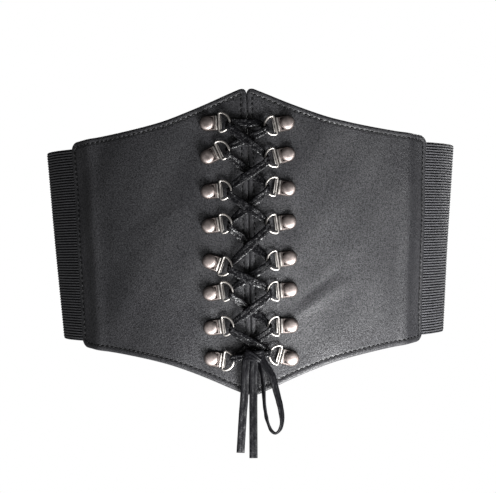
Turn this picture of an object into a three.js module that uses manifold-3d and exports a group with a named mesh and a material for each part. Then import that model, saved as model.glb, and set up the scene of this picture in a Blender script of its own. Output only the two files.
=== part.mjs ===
// Corset belt: two front panels laced together over sixteen D-rings, and an elastic band that goes
// round the back to a closure strip. Millimetres, +Z up. The front faces -Y, and the origin is the
// middle of the waist, half way up the elastic. "Left" is the side at -X, on the left from the front.

import * as THREE from "three";
import { mergeVertices } from "three/addons/utils/BufferGeometryUtils.js";
import Module from "manifold-3d";

const wasm = await Module();
wasm.setup();

// The waist: an oval seen from above, measured on the outer face of the front panels
const WAIST_HALF_WIDTH = 141.8;
const WAIST_HALF_DEPTH = 92;
const WAIST_TAPER = 0.075; // half-width gained for each mm of height

// Front panels
const PANEL_WIDTH = 126.8; // along the oval, from the centre front to the side edge
const PANEL_FLARE = 0.5; // share of the waist's taper that the panels are cut to
const PANEL_THICKNESS = 2.2;
const PEAK_HALF_HEIGHT = 100.5; // at the centre front, before its corner is rounded
const SIDE_HALF_HEIGHT = 68.6;
const PEAK_CORNER_RADIUS = 5;
const SIDE_CORNER_RADIUS = 5.5;
const SEAM_GAP = 0.4; // between the two panels at the centre front
const CREASE_HEIGHT = 0.8; // soft upright ridge over the end of the elastic
const CREASE_WIDTH = 8;

// Elastic band and closure strip
const ELASTIC_HALF_HEIGHT = 65;
const ELASTIC_THICKNESS = 1.5;
const ELASTIC_OVERLAP = 17; // how far it is sewn in under the panel
const BACK_GAP = 1; // between the two ends of elastic at the centre back
const CLOSURE_WIDTH = 38;
const CLOSURE_THICKNESS = 2;
const CLOSURE_MARGIN = 1.2; // by which the strip stands past the elastic, above and below

// Clearances
const CLEARANCE = 0.3; // between pieces that lie on each other
const LACE_CLEARANCE = 0.6; // between the lace and the wire that it goes round

// Lacing units: a rivet through a clip that holds a D-ring
const ROWS = 8;
const LACING_MARGIN = 24.2; // from the panels' peaks to the first and the last row
const ROW_PITCH = (2 * (PEAK_HALF_HEIGHT - LACING_MARGIN)) / (ROWS - 1);
const RIVET_OFFSET = 25.8; // from the centre front, the same in every row
const RIVET_HEAD_RADIUS = 4.3;
const RIVET_HEAD_HEIGHT = 3;
const RIVET_RIM = 0.5;
const RIVET_POST_RADIUS = 1.2;
const RIVET_CAP_RADIUS = 3.6;
const RIVET_CAP_HEIGHT = 0.7;
const RIVET_SIDES = 10;
const CLIP_WIDTH = 9;
const CLIP_REACH = 8; // from the rivet to the ring's bar
const CLIP_PLATE_THICKNESS = 1;
const CLIP_WALL = 0.45;
const CLIP_END_RADIUS = 4;
const WIRE_RADIUS = 0.7;
const WIRE_SIDES = 6;
const RING_BOW_RADIUS = 6.1;
const RING_CORNER_RADIUS = 1;
const RING_LIFT = 12; // degrees that the lace lifts each ring off the panel

// Lace: a flat cord
const LACE_WIDTH = 4.8;
const LACE_THICKNESS = 1.4;
const LACE_GATHERED = 0.62; // share of its width where it is bunched round a wire
const UPPER_CROSSING = 4.9; // height above the panel of the run that crosses over
const LOWER_CROSSING = 2.4;
const CROSSING_REACH = 0.17; // level stretch each side of a crossing, as a share of the diagonal
const BAR_HEIGHT = 2.2; // height above the panel of the straight stretch at the top

// Knot and what hangs from it
const KNOT_ACROSS = 1.6;
const KNOT_RISE = 3.3; // above the last row
const KNOT_HEIGHT = KNOT_RISE - ((ROWS - 1) / 2) * ROW_PITCH;
const KNOT_OUT = 6.9;
const KNOT_HALF_WIDTH = 6.6;
const KNOT_HALF_HEIGHT = 3.8;
const KNOT_HALF_DEPTH = 3.6;

// How each unit sits: the turn that the lace has pulled it to, in degrees upwards at the ring, and
// how far its rivet is above its even place, as a share of the row pitch. Top row first.
const UNITS = [
  { leftTurn: 2, leftShift: 0.03, rightTurn: -11, rightShift: 0 },
  { leftTurn: 24, leftShift: 0.04, rightTurn: -13, rightShift: 0.07 },
  { leftTurn: 4, leftShift: 0.01, rightTurn: 9, rightShift: 0.05 },
  { leftTurn: 8, leftShift: -0.01, rightTurn: -7, rightShift: 0.07 },
  { leftTurn: -20, leftShift: -0.06, rightTurn: -7, rightShift: -0.01 },
  { leftTurn: 8, leftShift: -0.01, rightTurn: -4, rightShift: 0.06 },
  { leftTurn: 7, leftShift: -0.03, rightTurn: -1, rightShift: 0 },
  { leftTurn: -9, leftShift: 0.06, rightTurn: 16, rightShift: 0.02 },
];

// The panel's edge, the same above and below: across is the share of the panel's width from the
// centre front, and rise is the share of the peak's extra height that is left there.
const PANEL_EDGE = [
  { across: 0, rise: 1 },
  { across: 0.1, rise: 0.835 },
  { across: 0.205, rise: 0.657 },
  { across: 0.31, rise: 0.498 },
  { across: 0.42, rise: 0.354 },
  { across: 0.53, rise: 0.252 },
  { across: 0.65, rise: 0.168 },
  { across: 0.775, rise: 0.1 },
  { across: 0.91, rise: 0.043 },
  { across: 1, rise: 0 },
];

// Where the lace goes round each wire, in degrees above level as seen from the front.
const WRAP = { arrive: 20, leave: -28, arriveFirst: 2, leaveLast: -2 };

// The free ends, from the knot down: across and drop from the knot's middle, out from the waist's
// front, and the turn of the lace's flat face away from the front, in degrees.
const LEFT_TAIL_ROUTE = [
  { across: -5, drop: 3.6, out: 7.4, turn: 8 },
  { across: -5.9, drop: 11, out: 6.6, turn: 6 },
  { across: -6.4, drop: 19, out: 5, turn: 2 },
  { across: -7, drop: 28, out: 4.2, turn: -4 },
  { across: -7.8, drop: 38, out: 3.8, turn: -8 },
  { across: -8.7, drop: 49, out: 3.6, turn: -10 },
  { across: -9.8, drop: 62.5, out: 3.4, turn: -12 },
];
const RIGHT_TAIL_ROUTE = [
  { across: 0.2, drop: 4.2, out: 7.8, turn: -4 },
  { across: -0.2, drop: 11, out: 7, turn: 0 },
  { across: -0.6, drop: 20, out: 5.4, turn: 4 },
  { across: -0.9, drop: 30, out: 4.6, turn: 6 },
  { across: -1.1, drop: 41, out: 4.2, turn: 4 },
  { across: -1.3, drop: 53, out: 4, turn: 2 },
  { across: -1.5, drop: 66, out: 3.8, turn: 0 },
];
const LOOP_ROUTE = [
  { across: 3.3, drop: 3.8, out: 6.4, turn: 60 },
  { across: 4.7, drop: 11, out: 5.4, turn: 70 },
  { across: 5.6, drop: 19, out: 4.6, turn: 76 },
  { across: 6, drop: 28, out: 4.2, turn: 79 },
  { across: 6.6, drop: 36, out: 4, turn: 80 },
  { across: 8, drop: 43, out: 4, turn: 81 },
  { across: 10.2, drop: 48.4, out: 4, turn: 81 },
  { across: 12.9, drop: 50.3, out: 4.2, turn: 81 },
  { across: 15.6, drop: 48.4, out: 4.4, turn: 79 },
  { across: 17.2, drop: 43.6, out: 4.6, turn: 73 },
  { across: 16.9, drop: 37, out: 5, turn: 62 },
  { across: 15.5, drop: 29.5, out: 5.4, turn: 54 },
  { across: 13.6, drop: 21.5, out: 6, turn: 50 },
  { across: 11.4, drop: 13, out: 7, turn: 46 },
  { across: 5.7, drop: 3.6, out: 7.6, turn: 36 },
];

// Steps of the faceted shapes
const OVAL_STEPS = 720;
const PANEL_STEPS = 11;
const PANEL_ROWS = 1;
const CORNER_STEPS = 3;
const ELASTIC_STEPS = 32;
const CLOSURE_STEPS = 5;
const BOW_STEPS = 7;
const RING_CORNER_STEPS = 2;
const CLIP_ARC_STEPS = 4;
const WRAP_STEPS = 8;
const TAIL_STEPS = 10;
const LOOP_STEPS = 22;

const LEFT = -1;
const RIGHT = 1;
const UP = new THREE.Vector3(0, 0, 1);
const FRONT = new THREE.Vector3(0, -1, 0);

const leather = new THREE.MeshStandardMaterial({ color: 0x2b2b2d, roughness: 0.5, metalness: 0 });
const elasticCloth = new THREE.MeshStandardMaterial({ color: 0x232325, roughness: 0.85, metalness: 0 });
const pewter = new THREE.MeshStandardMaterial({ color: 0x9b938f, roughness: 0.32, metalness: 1 });
const laceLeather = new THREE.MeshStandardMaterial({ color: 0x19191b, roughness: 0.55, metalness: 0 });

const radians = THREE.MathUtils.degToRad;

// The oval's turning angle at each arc length from the centre front, worked out once.
const ovalTable = (() => {
  const rows = [{ along: 0, turn: 0 }];
  let along = 0;
  for (let i = 1; i <= OVAL_STEPS; i += 1) {
    const middle = ((i - 0.5) / OVAL_STEPS) * Math.PI;
    const speed = Math.hypot(WAIST_HALF_WIDTH * Math.cos(middle), WAIST_HALF_DEPTH * Math.sin(middle));
    along += (speed * Math.PI) / OVAL_STEPS;
    rows.push({ along, turn: (i / OVAL_STEPS) * Math.PI });
  }
  return rows;
})();
const HALF_GIRTH = ovalTable[OVAL_STEPS].along;

function turnAt(along) {
  const far = Math.abs(along);
  let i = 1;
  while (i < OVAL_STEPS && ovalTable[i].along < far) i += 1;
  const a = ovalTable[i - 1];
  const b = ovalTable[i];
  const turn = a.turn + ((far - a.along) / (b.along - a.along)) * (b.turn - a.turn);
  return Math.sign(along) * turn;
}

// The place at an arc length from the centre front, a height, and a distance out from the panels'
// outer face, and the belt's own directions there.
function waistFrame(along, height) {
  const turn = turnAt(along);
  const halfWidth = WAIST_HALF_WIDTH + WAIST_TAPER * height;
  const point = new THREE.Vector3(halfWidth * Math.sin(turn), -WAIST_HALF_DEPTH * Math.cos(turn), height);
  const out = new THREE.Vector3(Math.sin(turn) / halfWidth, -Math.cos(turn) / WAIST_HALF_DEPTH, 0).normalize();
  const rightwards = new THREE.Vector3().crossVectors(UP, out);
  return { point, out, rightwards };
}

// The arc length that keeps this share of a true distance from the centre front where the waist is
// wider or narrower than at its middle
function drawnIn(along, height, share) {
  const girth = 1 + (WAIST_TAPER * height) / WAIST_HALF_WIDTH;
  return along * (1 + share * (1 / girth - 1));
}

function waistPoint(along, height, out) {
  const frame = waistFrame(along, height);
  return frame.point.addScaledVector(frame.out, out);
}

// A smooth value from a table: cubic between rows, with the slope at a row taken from its neighbours.
function smoothValue(rows, key, column, at) {
  let i = 0;
  while (i < rows.length - 2 && rows[i + 1][key] < at) i += 1;
  const slope = (n) => {
    const before = rows[Math.max(n - 1, 0)];
    const after = rows[Math.min(n + 1, rows.length - 1)];
    return (after[column] - before[column]) / (after[key] - before[key]);
  };
  const gap = rows[i + 1][key] - rows[i][key];
  const t = (at - rows[i][key]) / gap;
  const value = THREE.MathUtils.lerp(rows[i][column], rows[i + 1][column], 3 * t * t - 2 * t * t * t);
  return value + gap * (slope(i) * t * (1 - t) * (1 - t) - slope(i + 1) * t * t * (1 - t));
}

// How much a corner of this radius takes off an edge at a distance from the corner's side
function cornerDrop(radius, distance) {
  if (distance >= radius) return 0;
  return radius - Math.sqrt(radius ** 2 - (radius - distance) ** 2);
}

function panelHalfHeight(along) {
  const width = PANEL_WIDTH - SEAM_GAP / 2;
  const across = (along - SEAM_GAP / 2) / width;
  const rise = smoothValue(PANEL_EDGE, "across", "rise", across);
  const full = SIDE_HALF_HEIGHT + (PEAK_HALF_HEIGHT - SIDE_HALF_HEIGHT) * rise;
  const peakDrop = cornerDrop(PEAK_CORNER_RADIUS, along - SEAM_GAP / 2);
  const sideDrop = cornerDrop(SIDE_CORNER_RADIUS, PANEL_WIDTH - along);
  return full - peakDrop - sideDrop;
}

// Arc lengths of the panel's columns: close together in the round corners, even between them
function panelColumns() {
  const columns = [];
  for (let i = 0; i < CORNER_STEPS; i += 1) {
    columns.push(SEAM_GAP / 2 + PEAK_CORNER_RADIUS * (1 - Math.cos((i / CORNER_STEPS) * (Math.PI / 2))));
  }
  const start = SEAM_GAP / 2 + PEAK_CORNER_RADIUS;
  const end = PANEL_WIDTH - SIDE_CORNER_RADIUS;
  for (let i = 0; i <= PANEL_STEPS; i += 1) {
    columns.push(THREE.MathUtils.lerp(start, end, i / PANEL_STEPS));
  }
  for (let i = CORNER_STEPS - 1; i >= 0; i -= 1) {
    columns.push(PANEL_WIDTH - SIDE_CORNER_RADIUS * (1 - Math.cos((i / CORNER_STEPS) * (Math.PI / 2))));
  }
  return columns;
}

function creaseAt(along) {
  const away = (along - (PANEL_WIDTH - ELASTIC_OVERLAP)) / (CREASE_WIDTH / 2);
  return CREASE_HEIGHT * Math.exp(-away * away);
}

// A wall bent round the waist: a box with one layer, whose points are moved to where each column,
// height and face of the wall belongs.
function bentWall(columns, rows, place) {
  const box = new THREE.BoxGeometry(1, 1, 1, columns.length - 1, rows, 1);
  const at = box.attributes.position;
  for (let i = 0; i < at.count; i += 1) {
    const column = Math.round((at.getX(i) + 0.5) * (columns.length - 1));
    const point = place(columns[column], at.getY(i) * 2, at.getZ(i) + 0.5);
    at.setXYZ(i, point.x, point.y, point.z);
  }
  return weld(box);
}

function weld(geometry) {
  geometry.deleteAttribute("normal");
  geometry.deleteAttribute("uv");
  return mergeVertices(geometry, 1e-4);
}

function evenColumns(start, end, steps) {
  return Array.from({ length: steps + 1 }, (_, i) => THREE.MathUtils.lerp(start, end, i / steps));
}

function toSolid(geometry) {
  const vertProperties = new Float32Array(geometry.attributes.position.array);
  const triVerts = new Uint32Array(geometry.index.array);
  return new wasm.Manifold(new wasm.Mesh({ numProp: 3, vertProperties, triVerts }));
}

function toGeometry(solid) {
  const mesh = solid.getMesh();
  const geometry = new THREE.BufferGeometry();
  geometry.setAttribute("position", new THREE.BufferAttribute(new Float32Array(mesh.vertProperties), 3));
  geometry.setIndex(new THREE.BufferAttribute(new Uint32Array(mesh.triVerts), 1));
  return geometry;
}

// The place of a lacing unit: its origin is the rivet's centre on the panel, its x axis points to
// the ring, its z axis points out of the panel.
function unitMatrix(side, row) {
  const unit = UNITS[row];
  const turn = side === LEFT ? unit.leftTurn : unit.rightTurn;
  const height = rowHeight(side, row);
  const frame = waistFrame(drawnIn(side * RIVET_OFFSET, height, 1), height);
  const inwards = frame.rightwards.clone().multiplyScalar(-side);
  const across = new THREE.Vector3().crossVectors(frame.out, inwards);
  const matrix = new THREE.Matrix4().makeBasis(inwards, across, frame.out).setPosition(frame.point);
  return matrix.multiply(new THREE.Matrix4().makeRotationZ(-side * radians(turn)));
}

function rowHeight(side, row) {
  const unit = UNITS[row];
  const shift = side === LEFT ? unit.leftShift : unit.rightShift;
  return ((ROWS - 1) / 2 - row + shift) * ROW_PITCH;
}

const PLATE_TOP = CLEARANCE + CLIP_PLATE_THICKNESS;
const ROLL_BORE_RADIUS = WIRE_RADIUS + CLEARANCE + 0.05;
const ROLL_RADIUS = ROLL_BORE_RADIUS + CLIP_WALL;
const ROLL_HEIGHT = CLEARANCE + ROLL_RADIUS;

// The ring in its unit: its origin is the middle of the bar, its x axis points to the bow
function ringMatrix(side, row) {
  const place = new THREE.Matrix4().makeTranslation(CLIP_REACH, 0, ROLL_HEIGHT);
  const lift = new THREE.Matrix4().makeRotationY(-radians(RING_LIFT));
  return unitMatrix(side, row).multiply(place).multiply(lift);
}

// Rivet: a domed head over the clip, a post through clip and panel, and a flat cap behind
function rivetGeometry() {
  const under = PLATE_TOP + CLEARANCE;
  const behind = -PANEL_THICKNESS - CLEARANCE;
  const rimTop = under + RIVET_RIM;
  const dome = RIVET_HEAD_HEIGHT - RIVET_RIM;
  const slope = Math.SQRT1_2;
  const profile = [
    new THREE.Vector2(0, behind - RIVET_CAP_HEIGHT),
    new THREE.Vector2(RIVET_CAP_RADIUS, behind - RIVET_CAP_HEIGHT),
    new THREE.Vector2(RIVET_CAP_RADIUS, behind),
    new THREE.Vector2(RIVET_POST_RADIUS, behind),
    new THREE.Vector2(RIVET_POST_RADIUS, under),
    new THREE.Vector2(RIVET_HEAD_RADIUS, under),
    new THREE.Vector2(RIVET_HEAD_RADIUS, rimTop),
    new THREE.Vector2(RIVET_HEAD_RADIUS * slope, rimTop + dome * slope),
    new THREE.Vector2(0, rimTop + dome),
  ];
  const lathe = weld(new THREE.LatheGeometry(profile, RIVET_SIDES));
  return dropFlat(lathe.rotateX(Math.PI / 2));
}

// Leaves out the triangles that a lathe makes with no area where its profile meets the axis
function dropFlat(geometry) {
  const kept = [];
  const index = geometry.index.array;
  for (let i = 0; i < index.length; i += 3) {
    const [a, b, c] = [index[i], index[i + 1], index[i + 2]];
    if (a !== b && b !== c && c !== a) kept.push(a, b, c);
  }
  geometry.setIndex(kept);
  return geometry;
}

// Clip: a plate under the rivet's head that rolls round the ring's bar
function clipGeometry() {
  const side = new THREE.Shape();
  const meet = Math.asin((PLATE_TOP - ROLL_HEIGHT) / ROLL_RADIUS);
  side.moveTo(-CLIP_END_RADIUS, CLEARANCE);
  side.lineTo(CLIP_REACH, CLEARANCE);
  side.absarc(CLIP_REACH, ROLL_HEIGHT, ROLL_RADIUS, -Math.PI / 2, Math.PI - meet, false);
  side.lineTo(-CLIP_END_RADIUS, PLATE_TOP);
  const bore = new THREE.Path();
  bore.absarc(CLIP_REACH, ROLL_HEIGHT, ROLL_BORE_RADIUS, 0, 2 * Math.PI, false);
  side.holes.push(bore);
  const strip = new THREE.ExtrudeGeometry(side, {
    depth: CLIP_WIDTH,
    bevelEnabled: false,
    curveSegments: CLIP_ARC_STEPS,
  });
  strip.translate(0, 0, -CLIP_WIDTH / 2).rotateX(Math.PI / 2);

  const outline = new THREE.Shape();
  const far = CLIP_REACH + ROLL_RADIUS + 1;
  outline.moveTo(far, -CLIP_WIDTH);
  outline.lineTo(far, CLIP_WIDTH);
  outline.lineTo(CLIP_END_RADIUS, CLIP_WIDTH);
  outline.lineTo(0, CLIP_END_RADIUS);
  outline.absarc(0, 0, CLIP_END_RADIUS, Math.PI / 2, (3 * Math.PI) / 2, false);
  outline.lineTo(CLIP_END_RADIUS, -CLIP_WIDTH);
  const cutter = new THREE.ExtrudeGeometry(outline, {
    depth: 4 * ROLL_RADIUS,
    bevelEnabled: false,
    curveSegments: CLIP_ARC_STEPS,
  });
  const kept = toSolid(weld(strip)).intersect(toSolid(weld(cutter)));
  return toGeometry(kept.subtract(toSolid(postHole(-1, 4 * ROLL_RADIUS))));
}

// A post's hole, from one height to another along the rivet
function postHole(from, to) {
  const hole = new THREE.CylinderGeometry(
    RIVET_POST_RADIUS + CLEARANCE,
    RIVET_POST_RADIUS + CLEARANCE,
    to - from,
    RIVET_SIDES,
  );
  return weld(hole.rotateX(Math.PI / 2).translate(0, 0, (from + to) / 2));
}

// A section carried along stations, each with a centre, a flat-face normal and a width share.
// A closed run joins its end to its start, and an open one gets a flat cap at each end.
function sweep(stations, section, closed) {
  const count = stations.length;
  const positions = [];
  stations.forEach((station, i) => {
    const before = stations[closed ? (i + count - 1) % count : Math.max(i - 1, 0)].centre;
    const after = stations[closed ? (i + 1) % count : Math.min(i + 1, count - 1)].centre;
    const forward = new THREE.Vector3().subVectors(after, before).normalize();
    const wide = new THREE.Vector3().crossVectors(forward, station.normal).normalize();
    const face = new THREE.Vector3().crossVectors(wide, forward);
    for (const [across, out] of section) {
      const point = station.centre.clone();
      point.addScaledVector(wide, across * (station.share ?? 1)).addScaledVector(face, out);
      positions.push(point.x, point.y, point.z);
    }
  });
  const sides = section.length;
  const index = [];
  const spans = closed ? count : count - 1;
  for (let i = 0; i < spans; i += 1) {
    for (let j = 0; j < sides; j += 1) {
      const a = i * sides + j;
      const b = i * sides + ((j + 1) % sides);
      const c = ((i + 1) % count) * sides + j;
      const d = ((i + 1) % count) * sides + ((j + 1) % sides);
      index.push(a, c, b, b, c, d);
    }
  }
  if (!closed) {
    const last = (count - 1) * sides;
    for (let j = 1; j < sides - 1; j += 1) {
      index.push(0, j, j + 1);
      index.push(last, last + j + 1, last + j);
    }
  }
  const geometry = new THREE.BufferGeometry();
  geometry.setAttribute("position", new THREE.Float32BufferAttribute(positions, 3));
  geometry.setIndex(index);
  return geometry;
}

// The wire's round section
function wireSection() {
  return Array.from({ length: WIRE_SIDES }, (_, i) => {
    const angle = (i / WIRE_SIDES) * 2 * Math.PI;
    return [WIRE_RADIUS * Math.cos(angle), WIRE_RADIUS * Math.sin(angle)];
  });
}

// The flat lace's section: a rectangle with its edges rounded off in this many points an edge
function laceSection(edgePoints) {
  const section = [];
  for (const end of [1, -1]) {
    for (let i = 0; i < edgePoints; i += 1) {
      const angle = ((i + 0.5) / edgePoints - 0.5) * Math.PI;
      const across = LACE_WIDTH / 2 - (LACE_THICKNESS / 2) * (1 - Math.cos(angle));
      section.push([end * across, end * (LACE_THICKNESS / 2) * edgeRise(angle, edgePoints)]);
    }
  }
  return section;
}

// Puts the outermost points of a rounded edge on the lace's flat faces
function edgeRise(angle, edgePoints) {
  const outermost = Math.sin(((edgePoints - 1) / edgePoints) * (Math.PI / 2));
  return Math.sin(angle) / outermost;
}

// Points round part of a circle, from one angle up to just before another
function arcPoints(x, y, radius, from, to, steps) {
  return Array.from({ length: steps }, (_, i) => {
    const angle = THREE.MathUtils.lerp(from, to, i / steps);
    return new THREE.Vector3(x + radius * Math.cos(angle), y + radius * Math.sin(angle), 0);
  });
}

// D-ring: a straight bar, two small corners and a half-round bow
function ringGeometry() {
  const corner = RING_CORNER_RADIUS;
  const bar = RING_BOW_RADIUS - corner;
  const quarter = Math.PI / 2;
  const points = [
    ...arcPoints(corner, bar, corner, 2 * quarter, quarter, RING_CORNER_STEPS),
    ...arcPoints(corner, 0, RING_BOW_RADIUS, quarter, -quarter, BOW_STEPS),
    ...arcPoints(corner, -bar, corner, -quarter, -2 * quarter, RING_CORNER_STEPS),
    new THREE.Vector3(0, -bar, 0),
  ];
  return sweep(points.map((centre) => ({ centre, normal: UP })), wireSection(), true);
}

// The lace's way round one ring's wire: in under it, up through the ring, and out over it. flip
// keeps the same face of the lace up from one ring to the next.
function wrapStations(side, row, flip) {
  const unit = UNITS[row];
  const turn = side === LEFT ? unit.leftTurn : unit.rightTurn;
  const arrive = row === 0 ? WRAP.arriveFirst : WRAP.arrive;
  const leave = row === ROWS - 1 ? WRAP.leaveLast : WRAP.leave;
  const away = WIRE_RADIUS + LACE_CLEARANCE + LACE_THICKNESS / 2;
  const matrix = ringMatrix(side, row);
  const stations = [];
  for (let i = 0; i <= WRAP_STEPS; i += 1) {
    const share = i / WRAP_STEPS;
    const around = radians(THREE.MathUtils.lerp(-60, -300, share));
    const onBow = -side * radians(THREE.MathUtils.lerp(arrive, leave, share) - turn);
    const outwards = new THREE.Vector3(Math.cos(onBow), Math.sin(onBow), 0);
    const wire = outwards.clone().multiplyScalar(RING_BOW_RADIUS);
    wire.x += RING_CORNER_RADIUS;
    const from = outwards.multiplyScalar(Math.cos(around));
    from.z = Math.sin(around);
    const centre = wire.addScaledVector(from, away).applyMatrix4(matrix);
    const normal = from.transformDirection(matrix).multiplyScalar(flip);
    stations.push({ centre, normal, share: LACE_GATHERED });
  }
  return stations;
}

// Level stretch of the lace about the point where the two runs cross
function crossingStations(from, to, height, flip) {
  return [0.5 - CROSSING_REACH, 0.5 + CROSSING_REACH].map((share) => {
    const middle = from.clone().lerp(to, share);
    const frame = waistFrame(middle.x, middle.z);
    const centre = frame.point.addScaledVector(frame.out, height);
    return { centre, normal: frame.out.multiplyScalar(flip) };
  });
}

const KNOT_CENTRE = waistPoint(KNOT_ACROSS, KNOT_HEIGHT, KNOT_OUT);

// One of the two runs of lace, from the middle of the bar at the top to the knot
function laceRun(firstSide, crossing) {
  const stations = [];
  for (const share of [0.01, 0.5]) {
    const frame = waistFrame(firstSide * RIVET_OFFSET * share * 0.5, rowHeight(firstSide, 0));
    const centre = frame.point.addScaledVector(frame.out, BAR_HEIGHT);
    stations.push({ centre, normal: frame.out.multiplyScalar(-1) });
  }
  let flip = 1;
  let side = firstSide;
  for (let row = 0; row < ROWS; row += 1) {
    const wrap = wrapStations(side, row, flip);
    if (row > 0) {
      const from = stations[stations.length - 1].centre;
      stations.push(...crossingStations(from, wrap[0].centre, crossing, -flip));
    }
    stations.push(...wrap);
    flip = -flip;
    side = -side;
  }
  const lastSide = -side;
  const reach = KNOT_HALF_WIDTH + 2 * CLEARANCE;
  const end = KNOT_CENTRE.clone();
  end.x += lastSide * reach;
  stations.push({ centre: end, normal: FRONT.clone().multiplyScalar(-flip), share: LACE_GATHERED });
  return sweep(stations, laceSection(3), false);
}

// A free end or loop of the lace along its listed route
function hangingLace(route, steps) {
  const centres = route.map(
    ({ across, drop, out }) =>
      new THREE.Vector3(KNOT_ACROSS + across, -WAIST_HALF_DEPTH - out, KNOT_HEIGHT - drop),
  );
  const curve = new THREE.CatmullRomCurve3(centres, false, "centripetal");
  const stations = [];
  for (let i = 0; i <= steps; i += 1) {
    const place = (i / steps) * (route.length - 1);
    const before = Math.min(Math.floor(place), route.length - 2);
    const turn = radians(THREE.MathUtils.lerp(route[before].turn, route[before + 1].turn, place - before));
    const forward = curve.getTangent(i / steps);
    const flat = FRONT.clone().addScaledVector(forward, -FRONT.dot(forward)).normalize();
    const sideways = new THREE.Vector3().crossVectors(forward, flat);
    const normal = flat.multiplyScalar(Math.cos(turn)).addScaledVector(sideways, Math.sin(turn));
    stations.push({ centre: curve.getPoint(i / steps), normal });
  }
  return sweep(stations, laceSection(4), false);
}

function panelGeometry(side) {
  const mirrored = panelColumns().map((along) => side * along);
  const columns = side === LEFT ? mirrored.reverse() : mirrored;
  const wall = bentWall(columns, PANEL_ROWS, (along, share, face) => {
    const far = Math.abs(along);
    const out = (face - 1) * PANEL_THICKNESS + creaseAt(far);
    const height = share * panelHalfHeight(far);
    return waistPoint(drawnIn(along, height, PANEL_FLARE), height, out);
  });
  let solid = toSolid(wall);
  for (let row = 0; row < ROWS; row += 1) {
    const hole = postHole(-3 * PANEL_THICKNESS, 2 * PANEL_THICKNESS);
    solid = solid.subtract(toSolid(hole.applyMatrix4(unitMatrix(side, row))));
  }
  return toGeometry(solid);
}

const ELASTIC_OUT = -PANEL_THICKNESS - CLEARANCE;

function elasticGeometry(side) {
  const start = PANEL_WIDTH - ELASTIC_OVERLAP;
  const end = HALF_GIRTH - BACK_GAP / 2;
  const even = evenColumns(0, 1, ELASTIC_STEPS);
  const columns = side === LEFT ? even.reverse() : even;
  return bentWall(columns, 1, (back, share, face) => {
    const height = share * ELASTIC_HALF_HEIGHT;
    const along = THREE.MathUtils.lerp(drawnIn(start, height, PANEL_FLARE), end, back);
    return waistPoint(side * along, height, ELASTIC_OUT + (face - 1) * ELASTIC_THICKNESS);
  });
}

// The strip over the two ends of elastic: it runs past the centre back, so its columns go on from
// one side of the oval to the other.
function closureGeometry() {
  const half = CLOSURE_WIDTH / 2;
  const columns = evenColumns(-half, half, CLOSURE_STEPS);
  const inner = ELASTIC_OUT + CLEARANCE;
  return bentWall(columns, 1, (fromBack, share, face) => {
    const along = fromBack < 0 ? HALF_GIRTH + fromBack : fromBack - HALF_GIRTH;
    const height = share * (ELASTIC_HALF_HEIGHT + CLOSURE_MARGIN);
    return waistPoint(along, height, inner + face * CLOSURE_THICKNESS);
  });
}

function knotGeometry() {
  const ball = weld(new THREE.SphereGeometry(1, 12, 8));
  ball.scale(KNOT_HALF_WIDTH, KNOT_HALF_DEPTH, KNOT_HALF_HEIGHT);
  return dropFlat(ball);
}

const belt = new THREE.Group();

function addPiece(parent, name, geometry, material) {
  const mesh = new THREE.Mesh(geometry, material);
  mesh.name = name;
  parent.add(mesh);
  return mesh;
}

function addUnit(side, row) {
  const unit = new THREE.Group();
  unitMatrix(side, row).decompose(unit.position, unit.quaternion, unit.scale);
  const label = `${side === LEFT ? "left" : "right"}_${row + 1}`;
  addPiece(unit, `rivet_${label}`, rivetGeometry(), pewter);
  addPiece(unit, `clip_${label}`, clipGeometry(), pewter);
  const ring = addPiece(unit, `d_ring_${label}`, ringGeometry(), pewter);
  ring.position.set(CLIP_REACH, 0, ROLL_HEIGHT);
  ring.rotation.y = -radians(RING_LIFT);
  belt.add(unit);
}

for (const side of [LEFT, RIGHT]) {
  const label = side === LEFT ? "left" : "right";
  addPiece(belt, `panel_${label}`, panelGeometry(side), leather);
  addPiece(belt, `elastic_${label}`, elasticGeometry(side), elasticCloth);
  for (let row = 0; row < ROWS; row += 1) addUnit(side, row);
}
addPiece(belt, "closure_strip", closureGeometry(), leather);
addPiece(belt, "lace_over", laceRun(LEFT, UPPER_CROSSING), laceLeather);
addPiece(belt, "lace_under", laceRun(RIGHT, LOWER_CROSSING), laceLeather);
addPiece(belt, "lace_knot", knotGeometry(), laceLeather).position.copy(KNOT_CENTRE);
addPiece(belt, "lace_tail_left", hangingLace(LEFT_TAIL_ROUTE, TAIL_STEPS), laceLeather);
addPiece(belt, "lace_tail_right", hangingLace(RIGHT_TAIL_ROUTE, TAIL_STEPS), laceLeather);
addPiece(belt, "lace_loop", hangingLace(LOOP_ROUTE, LOOP_STEPS), laceLeather);

export default belt;
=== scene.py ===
import math

import bpy
import numpy as np
from bpy.props import FloatProperty, FloatVectorProperty, IntProperty, PointerProperty
from mathutils import Matrix, Vector


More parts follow.
